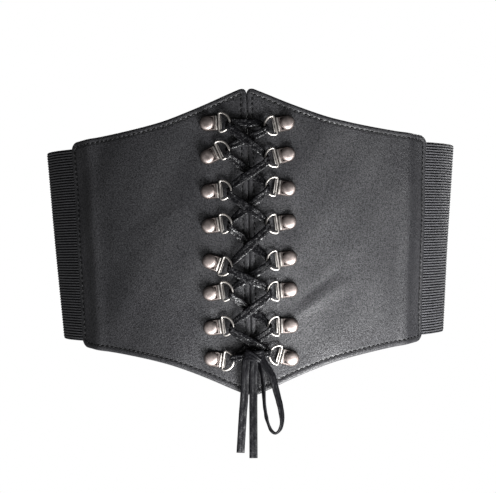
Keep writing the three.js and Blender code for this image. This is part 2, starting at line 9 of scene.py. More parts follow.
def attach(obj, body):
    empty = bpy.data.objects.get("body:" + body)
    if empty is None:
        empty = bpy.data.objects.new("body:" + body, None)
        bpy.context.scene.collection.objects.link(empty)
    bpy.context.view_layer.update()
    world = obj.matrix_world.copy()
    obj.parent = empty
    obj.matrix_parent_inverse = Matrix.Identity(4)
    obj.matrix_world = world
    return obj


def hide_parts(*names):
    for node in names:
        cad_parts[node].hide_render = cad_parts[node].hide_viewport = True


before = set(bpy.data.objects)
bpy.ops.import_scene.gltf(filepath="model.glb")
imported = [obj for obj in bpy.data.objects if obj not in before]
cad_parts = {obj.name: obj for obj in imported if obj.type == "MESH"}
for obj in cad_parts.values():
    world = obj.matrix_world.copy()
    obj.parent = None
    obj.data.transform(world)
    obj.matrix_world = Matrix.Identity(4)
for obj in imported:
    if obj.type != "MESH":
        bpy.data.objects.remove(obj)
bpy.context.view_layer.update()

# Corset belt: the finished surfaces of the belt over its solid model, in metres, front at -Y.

bl_info = {
    "name": "Corset belt",
    "version": (1, 0, 0),
    "blender": (4, 5, 0),
    "location": "3D View > Sidebar > Corset belt",
    "description": "Adds the leather, elastic, hardware and lacing of a corset belt",
    "category": "Add Mesh",
}

MM = 0.001
# Gap that is left between neighbouring pieces
CLEARANCE = 0.3 * MM
LEFT = -1
RIGHT = 1
SIDES = {"left": LEFT, "right": RIGHT}
ROWS = 8
BODY = "root"

# How each lacing unit sits, top row first: its turn in degrees, upwards at the ring, and how far its
# rivet is above its even place, as a share of the row pitch.
UNIT_COLUMNS = ("left_turn", "left_shift", "right_turn", "right_shift")
UNITS = [dict(zip(UNIT_COLUMNS, row)) for row in (
    (2, 0.03, -11, 0),
    (24, 0.04, -13, 0.07),
    (4, 0.01, 9, 0.05),
    (8, -0.01, -7, 0.07),
    (-20, -0.06, -7, -0.01),
    (8, -0.01, -4, 0.06),
    (7, -0.03, -1, 0),
    (-9, 0.06, 16, 0.02),
)]

# The panel's edge: the share of its width from the centre front, and the share of the peak's extra
# height that is left there.
PANEL_EDGE = np.array([
    (0, 1), (0.1, 0.835), (0.205, 0.657), (0.31, 0.498), (0.42, 0.354),
    (0.53, 0.252), (0.65, 0.168), (0.775, 0.1), (0.91, 0.043), (1, 0),
])

# Soft waves of the leather: height in mm, length in mm along and up the belt (0 is level), and phase
LEATHER_WAVES = {
    "left": [(0.34, 84, 190, 0.4), (0.22, -61, 75, 1.9), (0.12, 33, -48, 0.7)],
    "right": [(0.34, -92, 170, 2.2), (0.24, 57, 88, 0.3), (0.12, -37, 45, 1.1)],
}
# Creases pressed into the leather: along, up, length, width and height in mm, and angle in degrees
LEATHER_CREASES = {
    "left": [(-62, 14, 26, 3.2, 0.16, 24), (-74, 4, 20, 2.8, 0.12, 30), (-48, -30, 18, 3, 0.12, -28)],
    "right": [(45, -29, 17, 2.4, -0.34, 35), (51, -36, 20, 4.2, 0.45, 33), (38, -42, 16, 3, 0.3, 38)],
}

# Hanging ends of the lace from the knot down, in mm: across and drop from the knot's middle, out from
# the waist's front, and the turn of the lace's flat face in degrees.
LEFT_TAIL_ROUTE = [
    (-5, 3.6, 7.4, 8), (-5.6, 11, 6.6, 6), (-6.1, 19, 5, 2), (-6.8, 28, 4.2, -4),
    (-7.8, 38, 3.8, -8), (-8.7, 49, 3.6, -10), (-9.8, 62.5, 3.4, -12),
]
RIGHT_TAIL_ROUTE = [
    (0.2, 4.2, 7.8, -4), (-0.2, 11, 7, 0), (-0.6, 20, 5.4, 4), (-0.9, 30, 4.6, 6),
    (-1.1, 41, 4.2, 4), (-1.3, 53, 4, 2), (-1.5, 66, 3.8, 0),
]
LOOP_ROUTE = [
    (3.3, 3.8, 6.4, 54), (4.7, 11, 5.4, 64), (5.6, 19, 4.6, 70), (6, 28, 4.2, 73),
    (6.6, 36, 4, 74), (8, 43, 4, 75), (10.2, 48.4, 4, 75), (12.9, 50.3, 4.2, 75),
    (15.6, 48.4, 4.4, 73), (17.2, 43.6, 4.6, 67), (16.9, 37, 5, 56), (15.5, 29.5, 5.4, 48),
    (13.6, 21.5, 6, 44), (11.4, 13, 7, 40), (5.7, 3.6, 7.6, 30),
]

UP = Vector((0, 0, 1))
FRONT = Vector((0, -1, 0))


def linear(hex_colour):
    """An sRGB hex colour as linear red, green and blue."""
    channels = [int(hex_colour[i:i + 2], 16) / 255 for i in (1, 3, 5)]
    return tuple(c / 12.92 if c <= 0.04045 else ((c + 0.055) / 1.055) ** 2.4 for c in channels)


def length_setting(name, description, millimetres):
    """A length that can be set in the sidebar."""
    return FloatProperty(name=name, description=description, default=millimetres * MM, unit="LENGTH")


def colour_setting(name, description, hex_colour):
    """A base colour that can be set in the sidebar."""
    return FloatVectorProperty(name=name, description=description, default=linear(hex_colour),
                               subtype="COLOR", min=0, max=1)


class BeltShape(bpy.types.PropertyGroup):
    """Sizes of the panels, the elastic and the closure strip."""

    waist_half_width: length_setting(
        "Waist half width", "Half the oval's width, on the panels' outer face", 141.8)
    waist_half_depth: length_setting("Waist half depth", "Half the oval's depth, front to back", 92)
    waist_taper: FloatProperty(
        name="Waist taper", description="Half width gained for each unit of height", default=0.075)
    panel_width: length_setting(
        "Panel width", "From the centre front to the side edge, along the oval", 126.8)
    panel_flare: FloatProperty(
        name="Panel flare", description="Share of the waist's taper that the panels are cut to",
        default=0.5, subtype="FACTOR")
    panel_thickness: length_setting("Panel thickness", "Leather with its lining", 2.2)
    peak_half_height: length_setting(
        "Peak half height", "At the centre front, before its corner is rounded", 100.5)
    side_half_height: length_setting("Side half height", "At the panels' side edges", 68.6)
    peak_corner: length_setting("Peak corner", "Radius of the corners at the centre front", 5)
    side_corner: length_setting("Side corner", "Radius of the corners at the sides", 5.5)
    seam_gap: length_setting(
        "Seam gap", "Between the two panels, whose soft edges the lace pulls together", 0)
    ridge_height: length_setting("Ridge height", "Soft ridge over the hidden end of the elastic", 1.3)
    ridge_width: length_setting("Ridge width", "Width of that ridge", 11)
    elastic_half_height: length_setting("Elastic half height", "Half the height of the elastic band", 65)
    elastic_thickness: length_setting("Elastic thickness", "Over its ribs", 1.5)
    elastic_overlap: length_setting("Elastic overlap", "How far it is sewn in under the panel", 17)
    rib_pitch: length_setting("Rib pitch", "Height of one rib of the elastic", 1.8)
    rib_depth: length_setting("Rib depth", "Of the grooves between ribs", 0.5)
    back_gap: length_setting("Back gap", "Between the ends of the elastic", 1)
    closure_width: length_setting(
        "Closure width", "Strip over the elastic's ends at the centre back", 38)
    closure_thickness: length_setting("Closure thickness", "Thickness of that strip", 2)
    closure_margin: length_setting("Closure margin", "How far the strip stands past the elastic", 1.2)
    stitch_inset: length_setting("Stitch inset", "From the leather's edge to its stitching", 3.6)
    stitch_pitch: length_setting("Stitch pitch", "Length of one stitch with its gap", 3.5)
    thread_width: length_setting("Thread width", "Diameter of the sewing thread", 0.7)


class BeltHardware(bpy.types.PropertyGroup):
    """Sizes of the rivets, clips and D-rings."""

    row_pitch: length_setting("Row pitch", "Height from one row to the next", 21.8)
    rivet_offset: length_setting("Rivet offset", "From the centre front, the same in every row", 25.8)
    head_radius: length_setting("Head radius", "Radius of the rivets' domes", 4.5)
    head_height: length_setting("Head height", "Height of the domes", 3)
    cap_radius: length_setting("Cap radius", "Radius of the caps behind", 3.6)
    clip_width: length_setting("Clip width", "Width of the clips", 9.2)
    clip_reach: length_setting("Clip reach", "From the rivet to the ring's bar", 8)
    sheet_thickness: length_setting("Sheet thickness", "Thickness of the clips' metal", 0.45)
    wire_radius: length_setting("Wire radius", "Radius of the D-rings' wire", 0.7)
    bow_radius: length_setting("Bow radius", "Radius of the D-rings' round side", 6.1)
    ring_corner: length_setting("Ring corner", "Radius of the D-rings' two corners", 1)
    ring_lift: FloatProperty(
        name="Ring lift", description="How far the lace lifts each ring off the panel",
        default=math.radians(12), subtype="ANGLE")


class BeltLacing(bpy.types.PropertyGroup):
    """Sizes of the flat lace and its knot."""

    lace_width: length_setting("Lace width", "Across its flat face", 5)
    lace_thickness: length_setting("Lace thickness", "Through its flat face", 1.4)
    gathered: FloatProperty(
        name="Gathered", description="Share of its width where it goes round a wire",
        default=0.62, subtype="FACTOR")
    upper_crossing: length_setting(
        "Upper crossing", "Height over the panel of the run on top at a crossing", 4.9)
    lower_crossing: length_setting(
        "Lower crossing", "Height over the panel of the run below at a crossing", 2.4)
    knot_across: length_setting("Knot across", "The knot's place across the front", 1.6)
    knot_drop: length_setting("Knot drop", "The knot's depth below the middle", 73)
    knot_out: length_setting("Knot out", "The knot's distance out from the panel", 6.9)
    knot_half_width: length_setting("Knot half width", "Half the knot's width", 6.6)
    edge_points: IntProperty(
        name="Edge points", description="Points round each edge of the lace", default=5, min=3)


class BeltColours(bpy.types.PropertyGroup):
    """Base colours of the finishes."""

    leather: colour_setting("Leather", "Imitation leather of the panels", "#1c1c1e")
    lining: colour_setting("Lining", "Knitted backing of the panels", "#1c1c1e")
    elastic: colour_setting("Elastic", "Ribbed elastic", "#17171a")
    pewter: colour_setting("Pewter", "Plating of the rivets and clips", "#857c79")
    # This colour is painted shade: the dark metal in the clips' pressed-in plates and on the rims of
    # their wider lower runs stands in for the shadow in and round each clip.
    painted_shade: colour_setting("Painted shade", "Darkened plating in the clips' recesses", "#35312f")
    nickel: colour_setting("Nickel", "Plating of the D-rings", "#a8a4a0")
    lace: colour_setting("Lace", "Imitation leather of the lace", "#0b0b0d")
    thread: colour_setting("Thread", "Polyester sewing thread", "#060607")


def add_node(tree, kind, settings=None, values=None, links=None):
    """Adds a node: settings are its options, values fill its sockets, links join outputs to them."""
    node = tree.nodes.new(kind)
    for name, value in (settings or {}).items():
        setattr(node, name, value)
    for name, value in (values or {}).items():
        node.inputs[name].default_value = value
    for name, output in (links or {}).items():
        tree.links.new(output, node.inputs[name])
    return node


def start_material(name, colour, values):
    """A new material whose shader has this base colour and these socket values."""
    material = bpy.data.materials.new(name)
    material.use_nodes = True
    tree = material.node_tree
    shader = tree.nodes["Principled BSDF"]
    shader.inputs["Base Color"].default_value = (*colour, 1)
    for socket, value in values.items():
        shader.inputs[socket].default_value = value
    material.diffuse_color = (*colour, 1)
    return material, tree, shader


def shade_by(tree, shader, pattern, colour, shares, stops=(0, 1)):
    """Colours a surface by a pattern, between two shares of its colour at two stops."""
    ramp = add_node(tree, "ShaderNodeValToRGB", links={"Fac": pattern})
    for element, share, stop in zip(ramp.color_ramp.elements, shares, stops):
        element.color = (*(Vector(colour) * share), 1)
        element.position = stop
    tree.links.new(ramp.outputs["Color"], shader.inputs["Base Color"])


def set_by(tree, shader, socket, pattern, spread, given=(0, 1)):
    """Sets a socket by a pattern, whose given range is spread over a new one."""
    ranges = {"From Min": given[0], "From Max": given[1], "To Min": spread[0], "To Max": spread[1]}
    mapped = add_node(tree, "ShaderNodeMapRange", values=ranges, links={"Value": pattern})
    tree.links.new(mapped.outputs["Result"], shader.inputs[socket])


def emboss(tree, shader, *layers):
    """Relief in layers, one over the other: each is a pattern, a strength and a depth in mm."""
    links = {}
    for pattern, strength, depth in layers:
        links["Height"] = pattern
        bump = add_node(tree, "ShaderNodeBump",
                        values={"Strength": strength, "Distance": depth * MM}, links=links)
        links["Normal"] = bump.outputs["Normal"]
    tree.links.new(links["Normal"], shader.inputs["Normal"])


def per_metre(millimetres):
    """The scale of a pattern whose repeat is this long."""
    return 1 / (millimetres * MM)


def cloudy(tree, place, size, detail, roughness=0.5):
    """Irregular clouds of this size in mm."""
    return add_node(tree, "ShaderNodeTexNoise", values={
        "Scale": per_metre(size), "Detail": detail, "Roughness": roughness},
        links={"Vector": place}).outputs["Fac"]


def place_output(tree, kind):
    """The surface's own places: Object in metres, or UV."""
    return add_node(tree, "ShaderNodeTexCoord").outputs[kind]


def trigonometry(tree, kind, value, factor):
    """The sine or cosine of a value times a factor."""
    angle = add_node(tree, "ShaderNodeMath", {"operation": "MULTIPLY"}, {1: factor}, {0: value})
    return add_node(tree, "ShaderNodeMath", {"operation": kind},
                    links={0: angle.outputs["Value"]}).outputs["Value"]


# A wave texture of scale 1 has this many bands to the metre, near enough.
WAVE_BANDS = 3.2


def grained_leather(name, colours):
    """Polyurethane leather, embossed with a fine grain: its raised cells gleam softly and the
    furrows between them stay matt and dark."""
    material, tree, shader = start_material(name, colours.leather, {"Roughness": 0.42, "IOR": 1.5})
    place = place_output(tree, "Object")
    # The grain is drawn coarser than a real one, so that it shows at the picture's size.
    grain_size = 0.8
    cells = add_node(tree, "ShaderNodeTexVoronoi", {"feature": "SMOOTH_F1"},
                     {"Scale": per_metre(grain_size), "Smoothness": 0.5}, {"Vector": place})
    specks = cloudy(tree, place, grain_size, 3, 0.7)
    clouds = cloudy(tree, place, 26, 3)
    shade_by(tree, shader, specks, colours.leather, (0.45, 1.8), (0.36, 0.66))
    set_by(tree, shader, "Specular IOR Level", specks, (0.15, 0.56), (0.36, 0.64))
    set_by(tree, shader, "Roughness", clouds, (0.38, 0.54), (0.3, 0.7))
    emboss(tree, shader, (cells.outputs["Distance"], 0.5, 0.18), (specks, 0.7, 0.3))
    return material


def knitted_lining(name, colours):
    """Brushed polyester knit on the back of the leather: matt, with a short nap."""
    material, tree, shader = start_material(
        name, colours.lining, {"Roughness": 0.9, "Sheen Weight": 0.3, "Sheen Roughness": 0.6})
    # Knitted loops 0.9 mm apart, along the panel
    loops = add_node(tree, "ShaderNodeTexWave", {"bands_direction": "X"},
                     {"Scale": per_metre(0.9) / WAVE_BANDS, "Distortion": 1.6, "Detail": 1.5},
                     {"Vector": place_output(tree, "UV")}).outputs["Fac"]
    shade_by(tree, shader, loops, colours.lining, (0.6, 1.5))
    emboss(tree, shader, (loops, 0.5, 0.2))
    return material


def ribbed_elastic(name, colours):
    """Woven elastic of polyester over rubber: slightly glossy yarn on the ribs, with painted shade in
    the grooves and a painted highlight on the crests.
    """
    material, tree, shader = start_material(name, colours.elastic, {"Roughness": 0.6})
    # The surface's second coordinate counts ribs, so a full turn of the cosine is one rib.
    parts = add_node(tree, "ShaderNodeSeparateXYZ", links={"Vector": place_output(tree, "UV")})
    wave = trigonometry(tree, "COSINE", parts.outputs["Y"], 2 * math.pi)
    crest = add_node(tree, "ShaderNodeMapRange", values={"From Min": -0.6, "From Max": 0.7},
                     links={"Value": wave}).outputs["Result"]
    # Yarns 0.7 mm apart cross the ribs.
    yarns = trigonometry(tree, "SINE", parts.outputs["X"], 2 * math.pi * per_metre(0.7))
    wear = cloudy(tree, place_output(tree, "Object"), 5, 4)
    # The colour is painted lighter on the rib crests and darker in the grooves, as light and shade,
    # varied by clouds of wear.
    painted_light = add_node(tree, "ShaderNodeMath", {"operation": "MULTIPLY"}, links={0: crest, 1: wear})
    shade_by(tree, shader, painted_light.outputs["Value"], colours.elastic, (0.25, 3), (0, 0.6))
    set_by(tree, shader, "Specular IOR Level", crest, (0.01, 1.1))
    emboss(tree, shader, (yarns, 0.6, 0.08))
    return material


def plated_metal(name, colour, roughness):
    """Plated zinc or steel, tumbled smooth: a bright skin with faint cloudy wear."""
    material, tree, shader = start_material(name, colour, {"Metallic": 1, "Roughness": roughness})
    # Clouds of the plating, about 3 mm across
    clouds = cloudy(tree, place_output(tree, "Object"), 3, 4)
    shade_by(tree, shader, clouds, colour, (0.72, 1.12), (0.3, 0.7))
    set_by(tree, shader, "Roughness", clouds, (roughness * 0.8, roughness * 1.35))
    return material


def lace_leather(name, colours, crushed):
    """Folded strip of polyurethane leather, darker than the panels. crushed is how much of its
    grain is worked up to small bright specks: fully where the lace is laced, little where it hangs."""
    material, tree, shader = start_material(name, colours.lace, {"Roughness": 0.42, "IOR": 1.5})
    # Crushed grain of the thin skin, about 0.9 mm across
    grain = cloudy(tree, place_output(tree, "Object"), 0.9, 4, 0.6)
    shade_by(tree, shader, grain, colours.lace, (0.4, 1.5), (0.4, 0.7))
    set_by(tree, shader, "Specular IOR Level", grain, (0.05, 0.05 + 0.95 * crushed), (0.53, 0.66))
    emboss(tree, shader, (grain, 0.6 * crushed, 0.25))
    return material


def sewing_thread(name, colours):
    """Twisted polyester thread: a fine twist and a slight gloss."""
    material, tree, shader = start_material(
        name, colours.thread, {"Roughness": 0.5, "Specular IOR Level": 0.2})
    # Twist of the plies, 0.4 mm
    twist = add_node(tree, "ShaderNodeTexWave", {"bands_direction": "DIAGONAL"},
                     {"Scale": per_metre(0.4) / WAVE_BANDS}, {"Vector": place_output(tree, "Object")})
    emboss(tree, shader, (twist.outputs["Fac"], 0.5, 0.06))
    return material


def matt_paper(name, hex_colour):
    """Seamless studio paper: plain and matt."""
    return start_material(name, linear(hex_colour), {"Roughness": 0.9})[0]


def material_named(name, make, *values):
    """The material of this name, made when it is first asked for."""
    return bpy.data.materials.get(name) or make(name, *values)


def sewn_finishes(colours):
    """The leather, its lining and its sewing thread."""
    return (material_named("Embossed polyurethane leather", grained_leather, colours),
            material_named("Knitted polyester backing", knitted_lining, colours),
            material_named("Twisted polyester thread", sewing_thread, colours))


def pewter_plating(colours):
    """The softly shining plating that rivets and clips share."""
    return material_named("Pewter-plated zinc", plated_metal, colours.pewter, 0.46)


def nickel_plating(colours):
    """The brighter plating of the D-rings, also given to the clips' bead and roll as a painted
    highlight.
    """
    return material_named("Nickel-plated steel", plated_metal, colours.nickel, 0.42)


def deselect_all():
    """Leaves object mode with nothing selected."""
    if bpy.context.mode != "OBJECT":
        bpy.ops.object.mode_set(mode="OBJECT")
    bpy.ops.object.select_all(action="DESELECT")


def pick(obj):
    """Makes this object the one that operators act on."""
    deselect_all()
    obj.select_set(True)
    bpy.context.view_layer.objects.active = obj


def joined(parts, name):
    """Joins parts into one piece of this name."""
    deselect_all()
    for part in parts:
        part.select_set(True)
    bpy.context.view_layer.objects.active = parts[0]
    bpy.ops.object.join()
    parts[0].name = name
    return parts[0]


def face_outwards():
    """Turns all faces of the active piece outwards."""
    bpy.ops.object.mode_set(mode="EDIT")
    bpy.ops.mesh.select_all(action="SELECT")
    bpy.ops.mesh.normals_make_consistent(inside=False)
    bpy.ops.object.mode_set(mode="OBJECT")


def new_mesh_piece(name, points, faces, uvs=None, slots=None):
    """An object of a mesh in code, with a UV for each point and a material slot for each face."""
    mesh = bpy.data.meshes.new(name)
    mesh.from_pydata([tuple(p) for p in points], [], [tuple(int(i) for i in f) for f in faces])
    if uvs is not None:
        layer = mesh.uv_layers.new(name="surface")
        corners = np.empty(len(mesh.loops), dtype=np.int64)
        mesh.loops.foreach_get("vertex_index", corners)
        layer.data.foreach_set("uv", np.asarray(uvs, dtype=np.float64)[corners].ravel())
    if slots is not None:
        mesh.polygons.foreach_set("material_index", np.asarray(slots, dtype=np.int64))
    mesh.polygons.foreach_set("use_smooth", [True] * len(mesh.polygons))
    mesh.validate()
    mesh.update()
    obj = bpy.data.objects.new(name, mesh)
    bpy.context.scene.collection.objects.link(obj)
    return obj


def settle(obj, materials, nodes=()):
    """Gives a finished piece its materials and its body, and hides the solids that it stands for."""
    if not obj.data.materials:
        for material in materials:
            obj.data.materials.append(material)
    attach(obj, BODY)
    if nodes:
        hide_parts(*nodes)
    return obj


class Waist:
    """The oval that the belt is bent round, by arc length from the centre front."""

    STEPS = 2880

    def __init__(self, shape):
        self.half_width = shape.waist_half_width
        self.half_depth = shape.waist_half_depth
        self.taper = shape.waist_taper
        self.turns = np.linspace(0, math.pi, self.STEPS + 1)
        middle = (self.turns[1:] + self.turns[:-1]) / 2
        speed = np.hypot(self.half_width * np.cos(middle), self.half_depth * np.sin(middle))
        self.along = np.concatenate([[0], np.cumsum(speed * np.diff(self.turns))])
        self.half_girth = self.along[-1]

    def drawn_in(self, along, height, share):
        """The arc length that keeps this share of a true distance from the centre front where the
        waist is wider or narrower than at its middle."""
        girth = 1 + self.taper * height / self.half_width
        return along * (1 + share * (1 / girth - 1))

    def place(self, along, height, out):
        """Points at arc lengths, heights and distances out from the panels' outer face."""
        along = np.asarray(along, dtype=float)
        height = np.asarray(height, dtype=float)
        turn = np.sign(along) * np.interp(np.abs(along), self.along, self.turns)
        half_width = self.half_width + self.taper * height
        sine, cosine = np.sin(turn), np.cos(turn)
        point = np.stack([half_width * sine, -self.half_depth * cosine, height + 0 * turn], axis=-1)
        normal = np.stack([sine / half_width, -cosine / self.half_depth, 0 * turn], axis=-1)
        normal /= np.linalg.norm(normal, axis=-1, keepdims=True)
        return point + normal * np.asarray(out, dtype=float)[..., None]

    def frame(self, along, height):
        """A point of the oval with its outward direction, as vectors."""
        point = Vector(self.place(along, height, 0.0))
        out = Vector(self.place(along, height, 1.0)) - point
        return point, out.normalized()


def smooth_value(rows, at):
    """Values of a two-column table, cubic between its rows."""
    keys, values = rows[:, 0], rows[:, 1]
    last = len(keys) - 1
    before = np.maximum(np.arange(last + 1) - 1, 0)
    after = np.minimum(np.arange(last + 1) + 1, last)
    slope = (values[after] - values[before]) / (keys[after] - keys[before])
    i = np.clip(np.searchsorted(keys, at, side="left") - 1, 0, last - 1)
    gap = keys[i + 1] - keys[i]
    t = (at - keys[i]) / gap
    value = values[i] + (values[i + 1] - values[i]) * (3 * t ** 2 - 2 * t ** 3)
    return value + gap * (slope[i] * t * (1 - t) ** 2 - slope[i + 1] * t ** 2 * (1 - t))


def corner_drop(radius, distance):
    """How much a round corner takes off an edge at a distance from the corner's side."""
    inside = np.clip(distance, 0, radius)
    return radius - np.sqrt(radius ** 2 - (radius - inside) ** 2)


def panel_half_height(shape, along):
    """Half the panel's height at arc lengths from the centre front."""
    start = shape.seam_gap / 2
    across = (along - start) / (shape.panel_width - start)
    rise = smooth_value(PANEL_EDGE, across)
    full = shape.side_half_height + (shape.peak_half_height - shape.side_half_height) * rise
    drop = corner_drop(shape.peak_corner, along - start)
    return full - drop - corner_drop(shape.side_corner, shape.panel_width - along)


# Radius of the closure strip's corners
CLOSURE_CORNER = 2.5 * MM


def closure_half_height(shape, along):
    """Half the closure strip's height at arc lengths from its middle."""
    full = shape.elastic_half_height + shape.closure_margin
    return full - corner_drop(CLOSURE_CORNER, shape.closure_width / 2 - np.abs(along)) + 0 * along


# Distances in from an edge, in mm, at which a leather mesh has its rows of points
EDGE_ROWS = (0, 0.04, 0.15, 0.32, 0.55, 0.8, 1.1, 1.45, 1.85, 2.3, 2.7, 3.0, 3.25, 3.5, 3.75, 4.0,
             4.3, 4.7, 5.2, 5.9, 6.8, 7.9)


def rows_between(low, high, spacing):
    """Places from one edge to another: close together near both, evenly spaced between."""
    edge = np.array(EDGE_ROWS) * MM
    inner = (low + edge[-1], high - edge[-1])
    count = max(int(round((inner[1] - inner[0]) / spacing)), 1)
    middle = np.linspace(inner[0], inner[1], count + 1)[1:-1]
    return np.concatenate([low + edge, middle, (high - edge)[::-1]])


def outline_of(start, end, half_height, steps=160):
    """A flat piece's closed outline, anticlockwise from its lower left corner."""
    ends = (1 - np.cos(np.linspace(0, math.pi, steps))) / 2
    along = start + (end - start) * ends
    lower = np.stack([along, -half_height(along)], axis=1)
    upper = np.stack([along[::-1], half_height(along[::-1])], axis=1)
    return np.concatenate([lower, upper])


def nearest_on(outline, points):
    """Each point's distance to a closed outline, and the arc length of the nearest place on it."""
    starts = outline
    steps = np.roll(outline, -1, axis=0) - outline
    lengths = np.maximum(np.linalg.norm(steps, axis=1), 1e-9)
    before = np.concatenate([[0], np.cumsum(lengths)[:-1]])
    distances = np.empty(len(points))
    arcs = np.empty(len(points))
    for first in range(0, len(points), 4000):
        some = points[first:first + 4000]
        offset = some[:, None, :] - starts[None]
        share = np.clip((offset * steps[None]).sum(axis=2) / lengths ** 2, 0, 1)
        gap = np.linalg.norm(offset - share[..., None] * steps[None], axis=2)
        best = gap.argmin(axis=1)
        rows = np.arange(len(some))
        distances[first:first + 4000] = gap[rows, best]
        arcs[first:first + 4000] = before[best] + share[rows, best] * lengths[best]
    return distances, arcs


def soft_waves(side, along, height):
    """The leather's slow waves and pressed creases."""
    relief = np.zeros_like(along)
    for size, wave_along, wave_up, phase in LEATHER_WAVES[side]:
        relief += size * MM * np.sin(2 * math.pi * (along / wave_along + height / wave_up) / MM + phase)
    for middle, up, long, wide, size, angle in LEATHER_CREASES[side]:
        turn = math.radians(angle)
        x, y = along - middle * MM, height - up * MM
        down = (x * math.cos(turn) + y * math.sin(turn)) / (long * MM)
        over = (y * math.cos(turn) - x * math.sin(turn)) / (wide * MM)
        relief += size * MM * np.exp(-down ** 2 - over ** 2)
    return relief


# The furrow that the stitching draws into the leather, how much deeper and shallower it is along a
# stitch, and how far the leather puffs up between it and the edge
FURROW_WIDTH, FURROW_DEPTH, STITCH_DIP = 0.62 * MM, 0.23 * MM, 0.12 * MM
PUFF_HEIGHT = 0.22 * MM


def sewn_relief(shape, distance, arc, thickness):
    """Height of sewn leather by the distance to its edge: rounded over, puffed, and drawn in where
    each stitch goes down."""
    edge = thickness / 2
    rounding = corner_drop(edge, distance)
    pull = np.exp(-((distance - shape.stitch_inset) / FURROW_WIDTH) ** 2)
    depth = FURROW_DEPTH + STITCH_DIP * np.cos(2 * math.pi * arc / shape.stitch_pitch)
    puff = np.where(distance < shape.stitch_inset,
                    np.sin(math.pi * np.clip(distance / shape.stitch_inset, 0, 1)), 0)
    return PUFF_HEIGHT * puff - depth * pull - rounding


def shell(name, front, back, uvs):
    """A closed piece between two grids of points that share their borders."""
    rows, columns = front.shape[:2]
    front_ids = np.arange(rows * columns).reshape(rows, columns)
    back_ids = front_ids.copy()
    inner = (rows - 2) * (columns - 2)
    back_ids[1:-1, 1:-1] = rows * columns + np.arange(inner).reshape(rows - 2, columns - 2)
    points = np.concatenate([front.reshape(-1, 3), back[1:-1, 1:-1].reshape(-1, 3)])
    flat_uvs = np.concatenate([uvs.reshape(-1, 2), uvs[1:-1, 1:-1].reshape(-1, 2)])

    def quads(ids):
        return np.stack([ids[:-1, :-1], ids[:-1, 1:], ids[1:, 1:], ids[1:, :-1]], axis=-1).reshape(-1, 4)

    outside, inside = quads(front_ids), quads(back_ids)[:, ::-1]
    slots = [0] * len(outside) + [1] * len(inside)
    return new_mesh_piece(name, points, np.concatenate([outside, inside]), flat_uvs, slots)


def sewn_leather(name, shape, waist, columns, half_height, outline, lift, thickness, spacing, turn_to):
    """A sewn leather piece bent round the waist. lift gives its face's height over the panels' face,
    and turn_to its place on the oval."""
    heights = rows_between(-1.0 * half_height(columns).min(), half_height(columns).min(), spacing)
    # Rows near the edges keep their distance from the outline, and the others share out the rest.
    low = heights.min()
    edge = EDGE_ROWS[-1] * MM
    half = half_height(columns)[None]
    row = heights[:, None]
    inner = np.clip(row / (-low - edge), -1, 1)
    from_edge = np.maximum(-low - np.abs(row), 0)
    middle = inner * (half - edge)
    height = np.where(np.abs(row) > -low - edge, np.sign(row) * (half - from_edge), middle)
    along = np.broadcast_to(columns[None], height.shape)
    flat = np.stack([along.ravel(), height.ravel()], axis=1)
    distance, arc = (values.reshape(height.shape) for values in nearest_on(outline, flat))
    face = lift(along, height)
    front = face + sewn_relief(shape, distance, arc, thickness)
    back = face - thickness + corner_drop(thickness / 2, distance)
    border = np.zeros(height.shape, dtype=bool)
    border[0], border[-1], border[:, 0], border[:, -1] = True, True, True, True
    front[border] = (face - thickness / 2)[border]
    places = turn_to(along, height)
    uvs = np.stack([along, height], axis=-1)
    return shell(name, waist.place(places, height, front), waist.place(places, height, back), uvs)


# How far a stitch's ends lie askew, its middle stands out and its ends go down
STITCH_SKEW, STITCH_RISE, STITCH_DIVE = 0.14 * MM, 0.14 * MM, 0.5 * MM


def stitch_row(name, shape, waist, outline, lift, turn_to):
    """One mesh of separate stitches, end to end round an outline, at the stitching's inset."""
    steps = np.roll(outline, -1, axis=0) - np.roll(outline, 1, axis=0)
    inward = np.stack([-steps[:, 1], steps[:, 0]], axis=1)
    inward /= np.maximum(np.linalg.norm(inward, axis=1, keepdims=True), 1e-9)
    line = outline + inward * shape.stitch_inset
    line = np.concatenate([line, line[:1]])
    lengths = np.concatenate([[0], np.cumsum(np.linalg.norm(np.diff(line, axis=0), axis=1))])
    count = int(round(lengths[-1] / shape.stitch_pitch))
    pitch = lengths[-1] / count
    sides, rings = 6, 6
    half = 0.4 * pitch
    radius = shape.thread_width / 2
    points, faces = [], []
    for n in range(count):
        middle = (n + 0.5) * pitch
        first = len(points)
        for ring in range(rings):
            share = ring / (rings - 1) * 2 - 1
            at = middle + share * half
            here = np.array([np.interp(at, lengths, line[:, k]) for k in (0, 1)])
            ahead = np.array([np.interp(at + 0.2 * MM, lengths, line[:, k]) for k in (0, 1)])
            forward = (ahead - here) / max(np.linalg.norm(ahead - here), 1e-9)
            sideways = np.array([-forward[1], forward[0]])
            # Each stitch lies a little askew and dives into the leather at both ends.
            here = here + sideways * share * STITCH_SKEW
            rise = STITCH_RISE - STITCH_DIVE * share ** 4
            thick = radius * (1 - 0.3 * share ** 4)
            for k in range(sides):
                angle = 2 * math.pi * k / sides
                spot = here + sideways * thick * math.cos(angle)
                out = lift(spot[0], spot[1]) + rise + thick * math.sin(angle)
                points.append((spot[0], spot[1], out))
        for ring in range(rings - 1):
            for k in range(sides):
                a = first + ring * sides + k
                b = first + ring * sides + (k + 1) % sides
                faces.append((a, a + sides, b + sides, b))
        faces.append(tuple(first + k for k in range(sides)))
        last = first + (rings - 1) * sides
        faces.append(tuple(last + k for k in range(sides - 1, -1, -1)))
    flat = np.array(points)
    placed = waist.place(turn_to(flat[:, 0], flat[:, 1]), flat[:, 1], flat[:, 2])
    return new_mesh_piece(name, placed, faces)


# Size of the faces in the middle of a leather mesh
PANEL_MESH = 1.15 * MM
CLOSURE_MESH = 1.2 * MM


